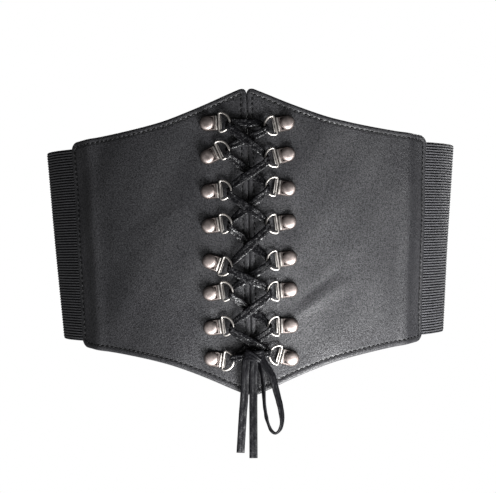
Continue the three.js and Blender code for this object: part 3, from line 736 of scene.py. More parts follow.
class CORSETBELT_OT_front_panels(bpy.types.Operator):
    """Adds the two pointed front panels of grained leather and their stitching."""

    bl_idname = "corset_belt.front_panels"
    bl_label = "Add front panels"

    def execute(self, context):
        shape = context.scene.belt_shape
        waist = Waist(shape)
        leather, lining, thread = sewn_finishes(context.scene.belt_colours)
        start, end = shape.seam_gap / 2, shape.panel_width

        def half_height(along):
            return panel_half_height(shape, np.clip(np.abs(along), start, end))

        for label, side in SIDES.items():
            low, high = sorted((side * start, side * end))

            def lift(along, height, label=label, side=side):
                away = (np.abs(along) - (end - shape.elastic_overlap)) / (shape.ridge_width / 2)
                ridge = shape.ridge_height * np.exp(-away ** 2)
                return ridge + soft_waves(label, np.asarray(along, dtype=float), height)

            def turn_to(along, height):
                return waist.drawn_in(along, height, shape.panel_flare)

            outline = outline_of(low, high, half_height)
            columns = rows_between(low, high, PANEL_MESH)
            panel = sewn_leather(f"leather_panel_{label}", shape, waist, columns, half_height, outline,
                                 lift, shape.panel_thickness, PANEL_MESH, turn_to)
            settle(panel, (leather, lining), [f"panel_{label}"])
            stitches = stitch_row(f"panel_stitching_{label}", shape, waist, outline, lift, turn_to)
            settle(stitches, (thread,))
        return {"FINISHED"}


# Points up each rib and along each half of the band
RIB_STEPS, ELASTIC_COLUMNS = 4, 88
# Rounding of the band's upper and lower edges
ELASTIC_EDGE = 0.6 * MM
# The band's slow wave: its height, its length along the belt and how it leans with height
ELASTIC_WANDER, ELASTIC_WAVE, ELASTIC_LEAN = 0.18 * MM, 47 * MM, 21 * MM


class CORSETBELT_OT_elastic_band(bpy.types.Operator):
    """Adds the ribbed elastic band, in its left and right halves."""

    bl_idname = "corset_belt.elastic_band"
    bl_label = "Add elastic band"

    def execute(self, context):
        shape = context.scene.belt_shape
        waist = Waist(shape)
        cloth = ribbed_elastic("Woven polyester elastic", context.scene.belt_colours)
        start = shape.panel_width - shape.elastic_overlap
        end = waist.half_girth - shape.back_gap / 2
        middle_out = -shape.panel_thickness - CLEARANCE - shape.elastic_thickness / 2
        ribs = int(round(2 * shape.elastic_half_height / shape.rib_pitch))
        rib = np.linspace(0, ribs, ribs * RIB_STEPS + 1)
        height = shape.elastic_half_height * (2 * rib / ribs - 1)
        half = shape.elastic_thickness / 2 - shape.rib_depth * (1 - np.cos(2 * math.pi * rib)) / 2
        half = half - corner_drop(ELASTIC_EDGE, shape.elastic_half_height - np.abs(height))
        for label, side in SIDES.items():
            share, up = np.meshgrid(np.linspace(0, 1, ELASTIC_COLUMNS), height)
            near = waist.drawn_in(start, up, shape.panel_flare)
            along = side * (near + (end - near) * share)
            if side == LEFT:
                along = along[:, ::-1]
            phase = 2 * math.pi * along / ELASTIC_WAVE + up / ELASTIC_LEAN
            wander = ELASTIC_WANDER * np.sin(phase)
            grown = np.broadcast_to(half[:, None], along.shape).copy()
            grown[:, 0] = grown[:, -1] = 0
            front = waist.place(along, up, middle_out + wander + grown)
            back = waist.place(along, up, middle_out + wander - grown)
            ribs_up = np.broadcast_to(rib[:, None], along.shape)
            band = shell(f"elastic_band_{label}", front, back, np.stack([along, ribs_up], axis=-1))
            settle(band, (cloth, cloth), [f"elastic_{label}"])
        return {"FINISHED"}


class CORSETBELT_OT_closure_strip(bpy.types.Operator):
    """Adds the plain leather strip over the elastic's ends at the centre back."""

    bl_idname = "corset_belt.closure_strip"
    bl_label = "Add closure strip"

    def execute(self, context):
        shape = context.scene.belt_shape
        waist = Waist(shape)
        leather, lining, thread = sewn_finishes(context.scene.belt_colours)
        half_width = shape.closure_width / 2
        face = shape.closure_thickness - shape.panel_thickness

        def half_height(along):
            return closure_half_height(shape, along)

        def lift(along, height):
            return face + 0 * np.asarray(along, dtype=float)

        def turn_to(from_back, _height):
            return np.where(from_back < 0, waist.half_girth + from_back, from_back - waist.half_girth)

        outline = outline_of(-half_width, half_width, half_height)
        columns = rows_between(-half_width, half_width, CLOSURE_MESH)
        strip = sewn_leather("closure_leather", shape, waist, columns, half_height, outline, lift,
                             shape.closure_thickness, CLOSURE_MESH, turn_to)
        settle(strip, (leather, lining), ["closure_strip"])
        stitches = stitch_row("closure_stitching", shape, waist, outline, lift, turn_to)
        settle(stitches, (thread,))
        return {"FINISHED"}


def unit_setting(side, row, column):
    """A lacing unit's turn or shift."""
    name = "left" if side == LEFT else "right"
    return UNITS[row][f"{name}_{column}"]


def unit_matrix(shape, hardware, side, row):
    """The place of a lacing unit: origin at its rivet on the panel, x to its ring, z out."""
    height = row_height(hardware, side, row)
    waist = Waist(shape)
    point, out = waist.frame(waist.drawn_in(side * hardware.rivet_offset, height, 1), height)
    inwards = UP.cross(out).normalized() * -side
    across = out.cross(inwards)
    basis = Matrix((inwards, across, out)).transposed().to_4x4()
    basis.translation = point
    return basis @ Matrix.Rotation(-side * math.radians(unit_setting(side, row, "turn")), 4, "Z")


def row_height(hardware, side, row):
    """The height of a unit's rivet."""
    return ((ROWS - 1) / 2 - row + unit_setting(side, row, "shift")) * hardware.row_pitch


PLATE_THICKNESS = 1 * MM
PLATE_TOP = CLEARANCE + PLATE_THICKNESS
# Play of the ring's bar in the clip's roll, past the clearance
ROLL_PLAY = 0.05 * MM


def roll_height(hardware):
    """The height of the ring's bar over the panel."""
    bore = hardware.wire_radius + CLEARANCE + ROLL_PLAY
    return CLEARANCE + bore + hardware.sheet_thickness


def ring_matrix(shape, hardware, side, row):
    """The place of a D-ring: origin at the middle of its bar, x to its bow."""
    place = Matrix.Translation((hardware.clip_reach, 0, roll_height(hardware)))
    lift = Matrix.Rotation(-hardware.ring_lift, 4, "Y")
    return unit_matrix(shape, hardware, side, row) @ place @ lift


def place_units(template, name, node, materials, matrix_of):
    """Copies a finished template to all sixteen units, each with its own mesh, and removes it."""
    for label, side in SIDES.items():
        for row in range(ROWS):
            mesh = template.data.copy()
            mesh.transform(matrix_of(side, row))
            piece = bpy.data.objects.new(f"{name}_{label}_{row + 1}", mesh)
            bpy.context.scene.collection.objects.link(piece)
            settle(piece, materials, [f"{node}_{label}_{row + 1}"])
    bpy.data.objects.remove(template)


def turned(name, rings, sides):
    """A round piece, extruded ring by ring from a disc. rings are (radius, height), upwards."""
    deselect_all()
    radius, height = rings[0]
    bpy.ops.mesh.primitive_circle_add(
        vertices=sides, radius=radius, fill_type="NGON", location=(0, 0, height))
    piece = bpy.context.object
    piece.name = name
    bpy.ops.object.transform_apply(location=True, rotation=False, scale=False)
    bpy.ops.object.mode_set(mode="EDIT")
    bpy.ops.mesh.select_all(action="SELECT")
    for next_radius, next_height in rings[1:]:
        bpy.ops.mesh.extrude_region_move(
            TRANSFORM_OT_translate={"value": (0, 0, next_height - height)})
        grow = next_radius / radius
        bpy.ops.transform.resize(value=(grow, grow, 1), center_override=(0, 0, next_height))
        radius, height = next_radius, next_height
    face_outwards()
    bpy.ops.object.shade_smooth_by_angle(angle=math.radians(40))
    return piece


POST_RADIUS = 1.2 * MM
# Height of the straight rim under a rivet's dome
HEAD_RIM = 0.55 * MM
# The cap behind, from its middle out: the share of its radius, and the depth behind its seat in mm
CAP_RINGS = ((0.3, 0.62), (0.5, 0.7), (0.9, 0.68), (1, 0.5), (1, 0.1), (0.96, 0))
RIVET_SIDES = 32
DOME_STEPS = 12
# The power of a superellipse that is a little flatter on top than a sphere
DOME_FULLNESS = 2 / 2.5


class CORSETBELT_OT_rivets(bpy.types.Operator):
    """Adds the sixteen domed rivets with their posts and the caps behind."""

    bl_idname = "corset_belt.rivets"
    bl_label = "Add rivets"

    def execute(self, context):
        shape, hardware = context.scene.belt_shape, context.scene.belt_hardware
        under = PLATE_TOP + CLEARANCE
        behind = -shape.panel_thickness - CLEARANCE
        cap, post = hardware.cap_radius, POST_RADIUS
        head = hardware.head_radius
        rim = HEAD_RIM
        rings = [(cap * share, behind - depth * MM) for share, depth in CAP_RINGS]
        rings += [(post, behind), (post, under)]
        rings += [(head * 0.95, under), (head, under + 0.14 * MM), (head, under + rim - 0.1 * MM)]
        for degrees in np.linspace(6, 89, DOME_STEPS):
            angle = math.radians(degrees)
            rise = rim + (hardware.head_height - rim) * math.sin(angle) ** DOME_FULLNESS
            rings.append((head * math.cos(angle) ** DOME_FULLNESS, under + rise))
        rivet = turned("rivet_template", rings, RIVET_SIDES)
        pewter = pewter_plating(context.scene.belt_colours)
        place_units(rivet, "domed_rivet", "rivet", (pewter,),
                    lambda side, row: unit_matrix(shape, hardware, side, row))
        return {"FINISHED"}


# How much wider the clip's lower run is than its upper run, so that its dark rim shows as a painted
# shadow round the clip
LOWER_GROWN = 1.12
# From the ring's bar back to the bead of the clip
BEAD_BACK = 2.05 * MM
BEAD_RADIUS = 0.55 * MM
# The rim round the clip's plate, and how deep the plate is pressed in behind it
PLATE_RIM, PLATE_SINK = 0.5 * MM, 0.12 * MM
# Past the middle of the clip's reach, where its plate ends
PLATE_END = 1.5 * MM
# Behind the bead, where the bright metal of the painted highlight begins
HIGHLIGHT_BACK = 0.7 * MM
FACE_TOLERANCE = 0.05 * MM


def clip_path(hardware):
    """The folded strip's middle line as (x, z, width) in two runs: over the plate up to a bead in
    front of the bar, and back under the plate from the roll that holds the bar. The lower run is
    a little wider, so that its dark edge shows all round as a painted shadow round the clip."""
    sheet = hardware.sheet_thickness
    bar_x, bar_z = hardware.clip_reach, roll_height(hardware)
    roll = hardware.wire_radius + CLEARANCE + ROLL_PLAY + sheet / 2
    top, bottom = PLATE_TOP - sheet / 2, CLEARANCE + sheet / 2
    end = hardware.clip_width / 2 - 0.1 * MM
    rounded = [-end * math.cos(math.radians(a)) for a in (7, 20, 33, 46, 60, 75, 90)]

    def plate(z, xs, grown=1):
        return [(x * grown if x < 0 else x, z, 2 * grown * math.sqrt(end ** 2 - min(x, 0) ** 2))
                for x in xs]

    def arc(x, z, radius, first, last, steps):
        return [(x + radius * math.cos(math.radians(a)), z + radius * math.sin(math.radians(a)), 2 * end)
                for a in np.linspace(first, last, steps)]

    bead_x = bar_x - BEAD_BACK
    upper = plate(top, rounded + [2.6 * MM, bead_x - 1.15 * MM])
    # A groove in front of the bead
    upper += plate(top - 0.3 * MM, [bead_x - 0.86 * MM])
    upper += arc(bead_x, top + 0.16 * MM, BEAD_RADIUS, 200, -60, 9)
    lower = plate(bottom, rounded + [3.4 * MM, bead_x], LOWER_GROWN)
    lower += arc(bar_x, bar_z, roll, -90, 22, 8)
    return upper, lower


def folded_strip(name, paths, sheet):
    """A strip of sheet metal along each path, extruded edge by edge from a plane."""
    made = []
    for path in paths:
        deselect_all()
        (x0, z0, w0), (x1, z1, w1) = path[:2]
        bpy.ops.mesh.primitive_plane_add(size=1)
        strip = bpy.context.object
        corners = strip.data.vertices
        for corner in corners:
            x, z, w = (x0, z0, w0) if corner.co.x < 0 else (x1, z1, w1)
            corner.co = (x, math.copysign(w / 2, corner.co.y), z)
        bpy.ops.object.mode_set(mode="EDIT")
        bpy.ops.mesh.select_mode(type="VERT")
        bpy.ops.mesh.select_all(action="DESELECT")
        bpy.ops.object.mode_set(mode="OBJECT")
        for corner in corners:
            corner.select = abs(corner.co.x - x1) < 1e-9
        bpy.ops.object.mode_set(mode="EDIT")
        bpy.ops.mesh.select_mode(type="EDGE")
        for (xa, za, wa), (xb, zb, wb) in zip(path[1:], path[2:]):
            bpy.ops.mesh.extrude_edges_move(TRANSFORM_OT_translate={"value": (xb - xa, 0, zb - za)})
            bpy.ops.transform.resize(value=(1, wb / wa, 1), center_override=(xb, 0, zb))
        bpy.ops.object.mode_set(mode="OBJECT")
        made.append(strip)
    piece = joined(made, name)
    for kind, settings in (
        ("SOLIDIFY", {"thickness": sheet, "offset": 0}),
        ("BEVEL", {"width": 0.1 * MM, "segments": 2, "limit_method": "ANGLE"}),
    ):
        modifier = piece.modifiers.new(kind.title(), kind)
        for setting, value in settings.items():
            setattr(modifier, setting, value)
        bpy.ops.object.modifier_apply(modifier=modifier.name)
    bpy.ops.object.mode_set(mode="EDIT")
    bpy.ops.mesh.select_mode(type="FACE")
    face_outwards()
    return piece


def sink_plate(piece, hardware):
    """Presses the clip's plate in behind a rim, and gives out the clip's three finishes: plating,
    painted shade in the plate and on the lower run, and a painted highlight of bright metal on the bead
    and the roll."""
    faces = piece.data.polygons
    for face in faces:
        level = face.normal.z > 0.99 and face.center.z > PLATE_TOP - FACE_TOLERANCE
        face.select = level and face.center.x < hardware.clip_reach / 2 + PLATE_END
    if not any(face.select for face in faces):
        raise RuntimeError("the clip has no plate to press in")
    bpy.ops.object.mode_set(mode="EDIT")
    bpy.ops.mesh.inset(thickness=PLATE_RIM, depth=-PLATE_SINK)
    bpy.ops.object.mode_set(mode="OBJECT")
    for face in piece.data.polygons:
        low = face.center.z < CLEARANCE + hardware.sheet_thickness + FACE_TOLERANCE
        painted_light = face.center.x > hardware.clip_reach - BEAD_BACK - HIGHLIGHT_BACK
        # Painted shade goes on the pressed-in plate and the lower run, and a painted highlight of
        # brighter metal on the bead and the roll.
        face.material_index = 1 if face.select or low else 2 if painted_light else 0
    bpy.ops.object.shade_smooth_by_angle(angle=math.radians(35))


class CORSETBELT_OT_clips(bpy.types.Operator):
    """Adds the sixteen folded clips that hold the D-rings."""

    bl_idname = "corset_belt.clips"
    bl_label = "Add clips"

    def execute(self, context):
        shape, hardware = context.scene.belt_shape, context.scene.belt_hardware
        colours = context.scene.belt_colours
        clip = folded_strip("clip_template", clip_path(hardware), hardware.sheet_thickness)
        # The second finish is painted shade, and the third a painted highlight on the bead and the roll.
        finishes = (pewter_plating(colours), plated_metal("Zinc with painted shade", colours.painted_shade, 0.5),
                    nickel_plating(colours))
        # The finishes need their slots before the faces are given to them.
        for finish in finishes:
            clip.data.materials.append(finish)
        sink_plate(clip, hardware)
        place_units(clip, "folded_clip", "clip", finishes,
                    lambda side, row: unit_matrix(shape, hardware, side, row))
        return {"FINISHED"}


class CORSETBELT_OT_d_rings(bpy.types.Operator):
    """Adds the sixteen D-rings of round wire."""

    bl_idname = "corset_belt.d_rings"
    bl_label = "Add D-rings"

    def execute(self, context):
        shape, hardware = context.scene.belt_shape, context.scene.belt_hardware
        bow, corner = hardware.bow_radius, hardware.ring_corner
        deselect_all()
        bpy.ops.curve.primitive_bezier_circle_add(radius=bow)
        ring = bpy.context.object
        ring.name = "ring_template"
        spline = ring.data.splines[0]
        spline.bezier_points.add(1)
        # Handles of a Bezier arc are this share of the radius long, for a quarter of a circle.
        arc = 0.5523
        bar = bow - corner
        spots = [
            ((0, -bar), (0, -bar - arc * corner), (0, -bar / 3)),
            ((0, bar), (0, bar / 3), (0, bar + arc * corner)),
            ((corner, bow), (corner - arc * corner, bow), (corner + arc * bow, bow)),
            ((corner + bow, 0), (corner + bow, arc * bow), (corner + bow, -arc * bow)),
            ((corner, -bow), (corner + arc * bow, -bow), (corner - arc * corner, -bow)),
        ]
        for point, (spot, before, after) in zip(spline.bezier_points, spots):
            point.handle_left_type = point.handle_right_type = "FREE"
            point.co = (*spot, 0)
            point.handle_left = (*before, 0)
            point.handle_right = (*after, 0)
        ring.data.dimensions = "3D"
        ring.data.resolution_u = 12
        ring.data.bevel_depth = hardware.wire_radius
        ring.data.bevel_resolution = 4
        pick(ring)
        bpy.ops.object.convert(target="MESH")
        ring = bpy.context.object
        bpy.ops.object.mode_set(mode="EDIT")
        bpy.ops.mesh.select_all(action="SELECT")
        bpy.ops.mesh.remove_doubles(threshold=0.002 * MM)
        face_outwards()
        bpy.ops.object.shade_smooth()
        nickel = nickel_plating(context.scene.belt_colours)
        place_units(ring, "wire_d_ring", "d_ring", (nickel,),
                    lambda side, row: ring_matrix(shape, hardware, side, row))
        return {"FINISHED"}


def through_points(rows, spacing):
    """A smooth line through rows of numbers, whose first three are places, sampled at a spacing."""
    rows = np.asarray(rows, dtype=float)
    rows = np.concatenate([[2 * rows[0] - rows[1]], rows, [2 * rows[-1] - rows[-2]]])
    gaps = np.maximum(np.linalg.norm(np.diff(rows[:, :3], axis=0), axis=1), 1e-6)
    knots = np.concatenate([[0], np.cumsum(np.sqrt(gaps))])
    line = []
    for i in range(1, len(rows) - 2):
        count = max(int(math.ceil(gaps[i] / spacing)), 1)
        p0, p1, p2, p3 = rows[i - 1:i + 3]
        t0, t1, t2, t3 = knots[i - 1:i + 3]
        for t in np.linspace(t1, t2, count, endpoint=False):
            a1 = (t1 - t) / (t1 - t0) * p0 + (t - t0) / (t1 - t0) * p1
            a2 = (t2 - t) / (t2 - t1) * p1 + (t - t1) / (t2 - t1) * p2
            a3 = (t3 - t) / (t3 - t2) * p2 + (t - t2) / (t3 - t2) * p3
            b1 = (t2 - t) / (t2 - t0) * a1 + (t - t0) / (t2 - t0) * a2
            b2 = (t3 - t) / (t3 - t1) * a2 + (t - t1) / (t3 - t1) * a3
            line.append((t2 - t) / (t2 - t1) * b1 + (t - t1) / (t2 - t1) * b2)
    line.append(rows[-2])
    return np.array(line)


def lace_section(lacing):
    """Points round the flat lace: two soft crowns with a fold between them, and round edges."""
    half, radius = lacing.lace_width / 2, lacing.lace_thickness / 2
    flat = half - radius
    section = []
    for end in (1, -1):
        for i in range(lacing.edge_points):
            angle = (i / (lacing.edge_points - 1) - 0.5) * math.pi
            section.append((end * (flat + radius * math.cos(angle)), end * radius * math.sin(angle)))
        for share in (0.66, 0.34, 0.12, 0, -0.12, -0.34, -0.66):
            dent = 0.16 * MM * math.exp(-(share / 0.14) ** 2) - 0.05 * MM * (1 - abs(share))
            section.append((end * share * flat, end * (radius - dent)))
    return section


def crinkle(across, along):
    """Small crushed folds of the soft lace, from its place across and along."""
    fold = np.sin(along / (1.3 * MM) + 1.1 * np.sin(along / (2.9 * MM)) + across / (1.1 * MM))
    tuck = np.sin(along / (2.3 * MM) - across / (0.8 * MM) + 2 * np.sin(along / (7.1 * MM)))
    return 0.07 * MM * fold + 0.09 * MM * tuck


def sweep(name, stations, section, closed=False):
    """The lace's section carried along stations of (x, y, z, normal x, y, z, width share)."""
    stations = np.asarray(stations, dtype=float)
    centres, normals, shares = stations[:, :3], stations[:, 3:6], stations[:, 6]
    if closed:
        forward = np.roll(centres, -1, axis=0) - np.roll(centres, 1, axis=0)
    else:
        forward = np.gradient(centres, axis=0)
    forward /= np.linalg.norm(forward, axis=1, keepdims=True)
    wide = np.cross(forward, normals)
    wide /= np.linalg.norm(wide, axis=1, keepdims=True)
    face = np.cross(wide, forward)
    section = np.array(section)
    across = section[None, :, 0] * shares[:, None]
    out = section[None, :, 1] * (1 + 0.25 * (1 - shares[:, None]))
    count, sides = len(stations), len(section)
    gone = np.concatenate([[0], np.cumsum(np.linalg.norm(np.diff(centres, axis=0), axis=1))])
    if not closed:
        out = out + crinkle(section[None, :, 0], gone[:, None])
    points = centres[:, None] + wide[:, None] * across[..., None] + face[:, None] * out[..., None]
    faces = []
    for i in range(count if closed else count - 1):
        for j in range(sides):
            a, b = i * sides + j, i * sides + (j + 1) % sides
            c, d = ((i + 1) % count) * sides + j, ((i + 1) % count) * sides + (j + 1) % sides
            faces.append((a, c, d, b))
    if not closed:
        last = (count - 1) * sides
        faces.append(tuple(range(sides)))
        faces.append(tuple(last + j for j in range(sides - 1, -1, -1)))
    uvs = np.stack([np.broadcast_to(section[None, :, 0], (count, sides)),
                    np.broadcast_to(gone[:, None], (count, sides))], axis=-1)
    return new_mesh_piece(name, points.reshape(-1, 3), faces, uvs.reshape(-1, 2)), centres


# Between the lace and the wire that it goes round
LACE_CLEARANCE = 0.35 * MM
# Share of its width that the lace has beside a ring
WRAP_WIDTH = 0.94


def wrap_stations(shape, hardware, lacing, side, row, flip):
    """The lace's way round a ring's wire: in under it, up through the ring and out over it."""
    turn = unit_setting(side, row, "turn")
    # Degrees up the ring's bow at which the lace comes in and goes out
    arrive = 2 if row == 0 else 20
    leave = 12 if row == ROWS - 1 else -28
    away = hardware.wire_radius + LACE_CLEARANCE + lacing.lace_thickness / 2
    matrix = ring_matrix(shape, hardware, side, row)
    rows = []
    for share in np.linspace(0, 1, 9):
        # Full width outside the ring, and bunched only where it passes through
        width = lacing.gathered + (WRAP_WIDTH - lacing.gathered) * abs(2 * share - 0.85) ** 1.5
        around = math.radians(-60 - 240 * share)
        on_bow = -side * math.radians(arrive + (leave - arrive) * share - turn)
        outwards = Vector((math.cos(on_bow), math.sin(on_bow), 0))
        wire = outwards * hardware.bow_radius + Vector((hardware.ring_corner, 0, 0))
        spoke = outwards * math.cos(around) + UP * math.sin(around)
        centre = matrix @ (wire + spoke * away)
        normal = (matrix.to_3x3() @ spoke).normalized() * flip
        rows.append((*centre, *normal, min(width, WRAP_WIDTH)))
    return rows


# How much the lace spreads between two rings
CROSSING_WIDTH = 1.12


def crossing_stations(waist, start, end, height, flip):
    """The level stretch of the lace about the point where its two runs cross."""
    rows = []
    for share in (0.33, 0.5, 0.67):
        middle = Vector(start[:3]).lerp(Vector(end[:3]), share)
        point, out = waist.frame(middle.x, middle.z)
        rows.append((*(point + out * height), *(out * flip), CROSSING_WIDTH))
    return rows


def knot_centre(shape, lacing):
    """The middle of the knot."""
    point, out = Waist(shape).frame(lacing.knot_across, -lacing.knot_drop)
    return point + out * lacing.knot_out


# Height over the panel of the bar of lace at the top
START_HEIGHT = 2.2 * MM
# How far in from the knot's side a run ends
KNOT_DEPTH = 2.5 * MM
# Length of one face along the laced runs and along the hanging ends
RUN_MESH, HANGING_MESH = 0.8 * MM, 0.9 * MM


def lace_run(shape, hardware, lacing, first_side, crossing):
    """Stations of one laced run, from the middle of the bar at the top to the knot."""
    waist = Waist(shape)
    rows = []
    for share in (0, 0.25):
        point, out = waist.frame(first_side * hardware.rivet_offset * share,
                                 row_height(hardware, first_side, 0))
        rows.append((*(point + out * START_HEIGHT), *(-out), 1))
    side, flip = first_side, 1
    for row in range(ROWS):
        wrap = wrap_stations(shape, hardware, lacing, side, row, flip)
        if row > 0:
            rows += crossing_stations(waist, rows[-1], wrap[0], crossing, -flip)
        rows += wrap
        flip, side = -flip, -side
    end = knot_centre(shape, lacing)
    end.x += -side * (lacing.knot_half_width - KNOT_DEPTH)
    rows.append((*end, *(FRONT * -flip), lacing.gathered))
    return rows


# How much the lace flattens and widens where nothing pulls it
HANGING_WIDTH = 1.06
# A route's end that is less than this far below the knot's middle is led this much further up, in mm
KNOT_REACH, LED_IN = 5, 3


def hanging_rows(shape, lacing, route):
    """Stations of a hanging end along its route. An end that starts or stops at the knot is led
    into it."""
    table = list(route)
    for end in (0, -1):
        across, drop, out, turn = route[end]
        if drop < KNOT_REACH:
            table.insert(0 if end == 0 else len(table), (across * 0.8, drop - LED_IN, out, turn))
    points = [(lacing.knot_across + across * MM, -shape.waist_half_depth - out * MM,
               -lacing.knot_drop - drop * MM, turn) for across, drop, out, turn in table]
    line = through_points(points, HANGING_MESH)
    forward = np.gradient(line[:, :3], axis=0)
    rows = []
    for (x, y, z, turn), ahead in zip(line, forward):
        ahead = Vector(ahead).normalized()
        flat = (FRONT - ahead * FRONT.dot(ahead)).normalized()
        angle = math.radians(turn)
        normal = flat * math.cos(angle) + ahead.cross(flat) * math.sin(angle)
        rows.append((x, y, z, *normal, HANGING_WIDTH))
    return rows


def path_length(points):
    """The length of a line of points."""
    return float(np.linalg.norm(np.diff(points, axis=0), axis=1).sum())


class CORSETBELT_OT_laced_runs(bpy.types.Operator):
    """Adds the two runs of flat lace that criss-cross through the D-rings."""

    bl_idname = "corset_belt.laced_runs"
    bl_label = "Add laced runs"

    def execute(self, context):
        scene = context.scene
        shape, hardware, lacing = scene.belt_shape, scene.belt_hardware, scene.belt_lacing
        material = lace_leather("Crushed polyurethane lace", scene.belt_colours, 1)
        section = lace_section(lacing)
        for node, side, crossing in (
            ("lace_over", LEFT, lacing.upper_crossing),
            ("lace_under", RIGHT, lacing.lower_crossing),
        ):
            rows = through_points(lace_run(shape, hardware, lacing, side, crossing), RUN_MESH)
            run, _ = sweep(f"{node}_run", rows, section)
            settle(run, (material,), [node])
        return {"FINISHED"}


# Turns of the knot: half width, half depth and height in mm, and tilt in degrees
KNOT_TURNS = ((5.9, 2.7, 1, 7), (5.1, 3, -1.3, -11))
# The strand drawn down across them: across, out and up from the knot's middle, in mm
KNOT_STRAND = ((-4.8, 2.2, 3.4), (-3, 3.3, 2.2), (-0.4, 3.9, 0.4), (2.2, 3.6, -1.6), (4.4, 2.4, -3.2))


class CORSETBELT_OT_bow(bpy.types.Operator):
    """Adds the slip bow: its knot, its loop and its two hanging ends."""

    bl_idname = "corset_belt.bow"
    bl_label = "Add bow"

    def execute(self, context):
        scene = context.scene
        shape, lacing = scene.belt_shape, scene.belt_lacing
        material = lace_leather("Smooth polyurethane lace", scene.belt_colours, 0.12)
        section = lace_section(lacing)
        centre = knot_centre(shape, lacing)
        knot = self.knot(centre, section)
        settle(knot, (material,), ["lace_knot"])
        for name, node, route, far_end, with_pieces in (
            ("bow_loop", "lace_loop", LOOP_ROUTE, "object", ()),
            ("bow_end_left", "lace_tail_left", LEFT_TAIL_ROUTE, "bare", (knot,)),
            ("bow_end_right", "lace_tail_right", RIGHT_TAIL_ROUTE, "bare", ()),
        ):
            rows = hanging_rows(shape, lacing, route)
            piece, centres = sweep(name, rows, section)
            settle(piece, (material,), [node])
            path_length(centres)
            [tuple(p) for p in centres]
            list(with_pieces)
        return {"FINISHED"}

    def knot(self, centre, section):
        """Two turns of lace round the strands and one strand drawn down across them."""
        parts = []
        for half_width, half_depth, rise, tilt in KNOT_TURNS:
            rows = []
            for angle in np.linspace(0, 2 * math.pi, 40, endpoint=False):
                spoke = Vector((math.cos(angle), -math.sin(angle), 0))
                spot = Vector((spoke.x * half_width, spoke.y * half_depth, 0)) * MM
                spot.z = rise * MM + spot.x * math.tan(math.radians(tilt))
                normal = Vector((spoke.x / half_width, spoke.y / half_depth, 0)).normalized()
                rows.append((*(centre + spot), *normal, 0.86))
            parts.append(sweep("knot_turn", rows, section, closed=True)[0])
        rows = [(*(centre + Vector((x, -out, z)) * MM), *(FRONT + Vector((x * 0.12, 0, 0))), 0.7)
                for x, out, z in KNOT_STRAND]
        parts.append(sweep("knot_strand", through_points(rows, RUN_MESH), section)[0])
        return joined(parts, "bow_knot")


# Where the photograph was taken from, with its width in picture points and the size of one point
# at the belt's front
PICTURE_WIDTH = 496
POINT_SIZE = 0.645 * MM
CAMERA_DISTANCE = 900 * MM
CAMERA_ACROSS = -2.5 * MM
CAMERA_TURN = math.radians(1)
CAMERA_HEIGHT = -3.1 * MM
CAMERA_ROLL = math.radians(1.1)
SENSOR_WIDTH = 36

# The studio's paper floor, in metres: well below the low lights, which would burn it out
FLOOR_RADIUS = 1.15
FLOOR_HEIGHT = -0.85

# Studio lights: degrees to the right of the front, degrees up, distance and diameter in metres, watts
LIGHTS = (
    ("low_right_softbox", 28, -44, 0.45, 0.22, 9.2),
    ("right_softbox", 56, -18, 1.1, 0.5, 7),
    ("low_left_softbox", -20, -42, 0.48, 0.22, 1.5),
    ("left_softbox", -52, -8, 1.25, 0.5, 0.5),
    ("back_right_softbox", 142, 20, 1.3, 0.6, 9),
    ("back_left_softbox", -172, 20, 1.3, 0.6, 6),
)
# The room's own light, from above and from the pale floor
LIGHT_ABOVE = 0.09
LIGHT_BELOW = 0.2


def studio_world():
    """A white backdrop to the camera, and a dim room with a pale floor to everything else."""
    world = bpy.data.worlds.new("White studio")
    world.use_nodes = True
    tree = world.node_tree
    tree.nodes.clear()
    way = add_node(tree, "ShaderNodeTexCoord").outputs["Generated"]
    height = add_node(tree, "ShaderNodeSeparateXYZ", links={"Vector": way}).outputs["Z"]
    strength = add_node(tree, "ShaderNodeMapRange", values={
        "From Min": -0.12, "From Max": 0.12, "To Min": LIGHT_BELOW, "To Max": LIGHT_ABOVE},
        links={"Value": height})
    room = add_node(tree, "ShaderNodeBackground", values={"Color": (1, 1, 1, 1)},
                    links={"Strength": strength.outputs["Result"]})
    backdrop = add_node(tree, "ShaderNodeBackground", values={"Color": (1, 1, 1, 1), "Strength": 1})
    seen = add_node(tree, "ShaderNodeLightPath").outputs["Is Camera Ray"]
    mixed = add_node(tree, "ShaderNodeMixShader", links={
        0: seen, 1: room.outputs["Background"], 2: backdrop.outputs["Background"]})
    add_node(tree, "ShaderNodeOutputWorld", links={"Surface": mixed.outputs["Shader"]})
    return world


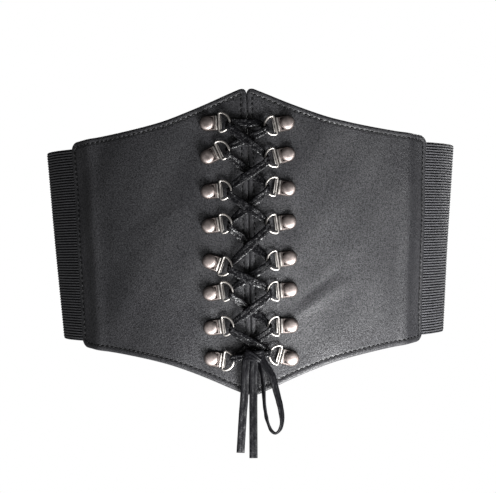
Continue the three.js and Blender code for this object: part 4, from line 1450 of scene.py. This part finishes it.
class CORSETBELT_OT_stage(bpy.types.Operator):
    """Adds the pale floor, the studio lights and the camera."""

    bl_idname = "corset_belt.stage"
    bl_label = "Add stage"

    def execute(self, context):
        scene = context.scene
        front = -scene.belt_shape.waist_half_depth
        deselect_all()
        bpy.ops.mesh.primitive_circle_add(
            vertices=96, radius=FLOOR_RADIUS, fill_type="NGON", location=(0, 0, FLOOR_HEIGHT))
        floor = bpy.context.object
        floor.name = "studio_floor"
        bpy.ops.object.transform_apply(location=True)
        floor.data.materials.append(matt_paper("White studio paper", "#f4f4f4"))

        scene.world = studio_world()
        for name, azimuth, elevation, distance, size, power in LIGHTS:
            turn, rise = math.radians(azimuth), math.radians(elevation)
            level = distance * math.cos(rise)
            place = Vector((level * math.sin(turn), -level * math.cos(turn), distance * math.sin(rise)))
            deselect_all()
            bpy.ops.object.light_add(type="AREA", location=place)
            light = bpy.context.object
            light.name = name
            light.data.shape = "DISK"
            light.data.size = size
            light.data.energy = power
            light.rotation_euler = (-place).to_track_quat("-Z", "Y").to_euler()

        deselect_all()
        swing = Matrix.Rotation(CAMERA_TURN, 4, "Z")
        spot = swing @ Vector((CAMERA_ACROSS, front - CAMERA_DISTANCE, CAMERA_HEIGHT))
        bpy.ops.object.camera_add(location=spot, rotation=(math.pi / 2, CAMERA_ROLL, CAMERA_TURN))
        camera = bpy.context.object
        camera.name = "photo_camera"
        camera.data.sensor_width = SENSOR_WIDTH
        camera.data.lens = SENSOR_WIDTH * CAMERA_DISTANCE / (PICTURE_WIDTH * POINT_SIZE)
        scene.camera = camera
        scene.view_settings.view_transform = "Standard"
        return {"FINISHED"}


class CORSETBELT_PT_parts(bpy.types.Panel):
    """Lists the belt's pieces in the sidebar."""

    bl_label = "Corset belt"
    bl_idname = "CORSETBELT_PT_parts"
    bl_space_type = "VIEW_3D"
    bl_region_type = "UI"
    bl_category = "Corset belt"

    def draw(self, context):
        for operator in OPERATORS:
            self.layout.operator(operator.bl_idname)


GROUPS = {
    "belt_shape": BeltShape,
    "belt_hardware": BeltHardware,
    "belt_lacing": BeltLacing,
    "belt_colours": BeltColours,
}
OPERATORS = (
    CORSETBELT_OT_stage,
    CORSETBELT_OT_bow,
    CORSETBELT_OT_laced_runs,
    CORSETBELT_OT_front_panels,
    CORSETBELT_OT_elastic_band,
    CORSETBELT_OT_closure_strip,
    CORSETBELT_OT_rivets,
    CORSETBELT_OT_clips,
    CORSETBELT_OT_d_rings,
)


def register():
    for group in GROUPS.values():
        bpy.utils.register_class(group)
    for name, group in GROUPS.items():
        setattr(bpy.types.Scene, name, PointerProperty(type=group))
    for operator in OPERATORS:
        bpy.utils.register_class(operator)
    bpy.utils.register_class(CORSETBELT_PT_parts)


def unregister():
    bpy.utils.unregister_class(CORSETBELT_PT_parts)
    for operator in reversed(OPERATORS):
        bpy.utils.unregister_class(operator)
    for name, group in GROUPS.items():
        delattr(bpy.types.Scene, name)
        bpy.utils.unregister_class(group)


def main():
    register()
    bpy.ops.corset_belt.stage()
    bpy.ops.corset_belt.bow()
    bpy.ops.corset_belt.laced_runs()
    bpy.ops.corset_belt.front_panels()
    bpy.ops.corset_belt.elastic_band()
    bpy.ops.corset_belt.closure_strip()
    bpy.ops.corset_belt.rivets()
    bpy.ops.corset_belt.clips()
    bpy.ops.corset_belt.d_rings()


if __name__ == "__main__":
    main()
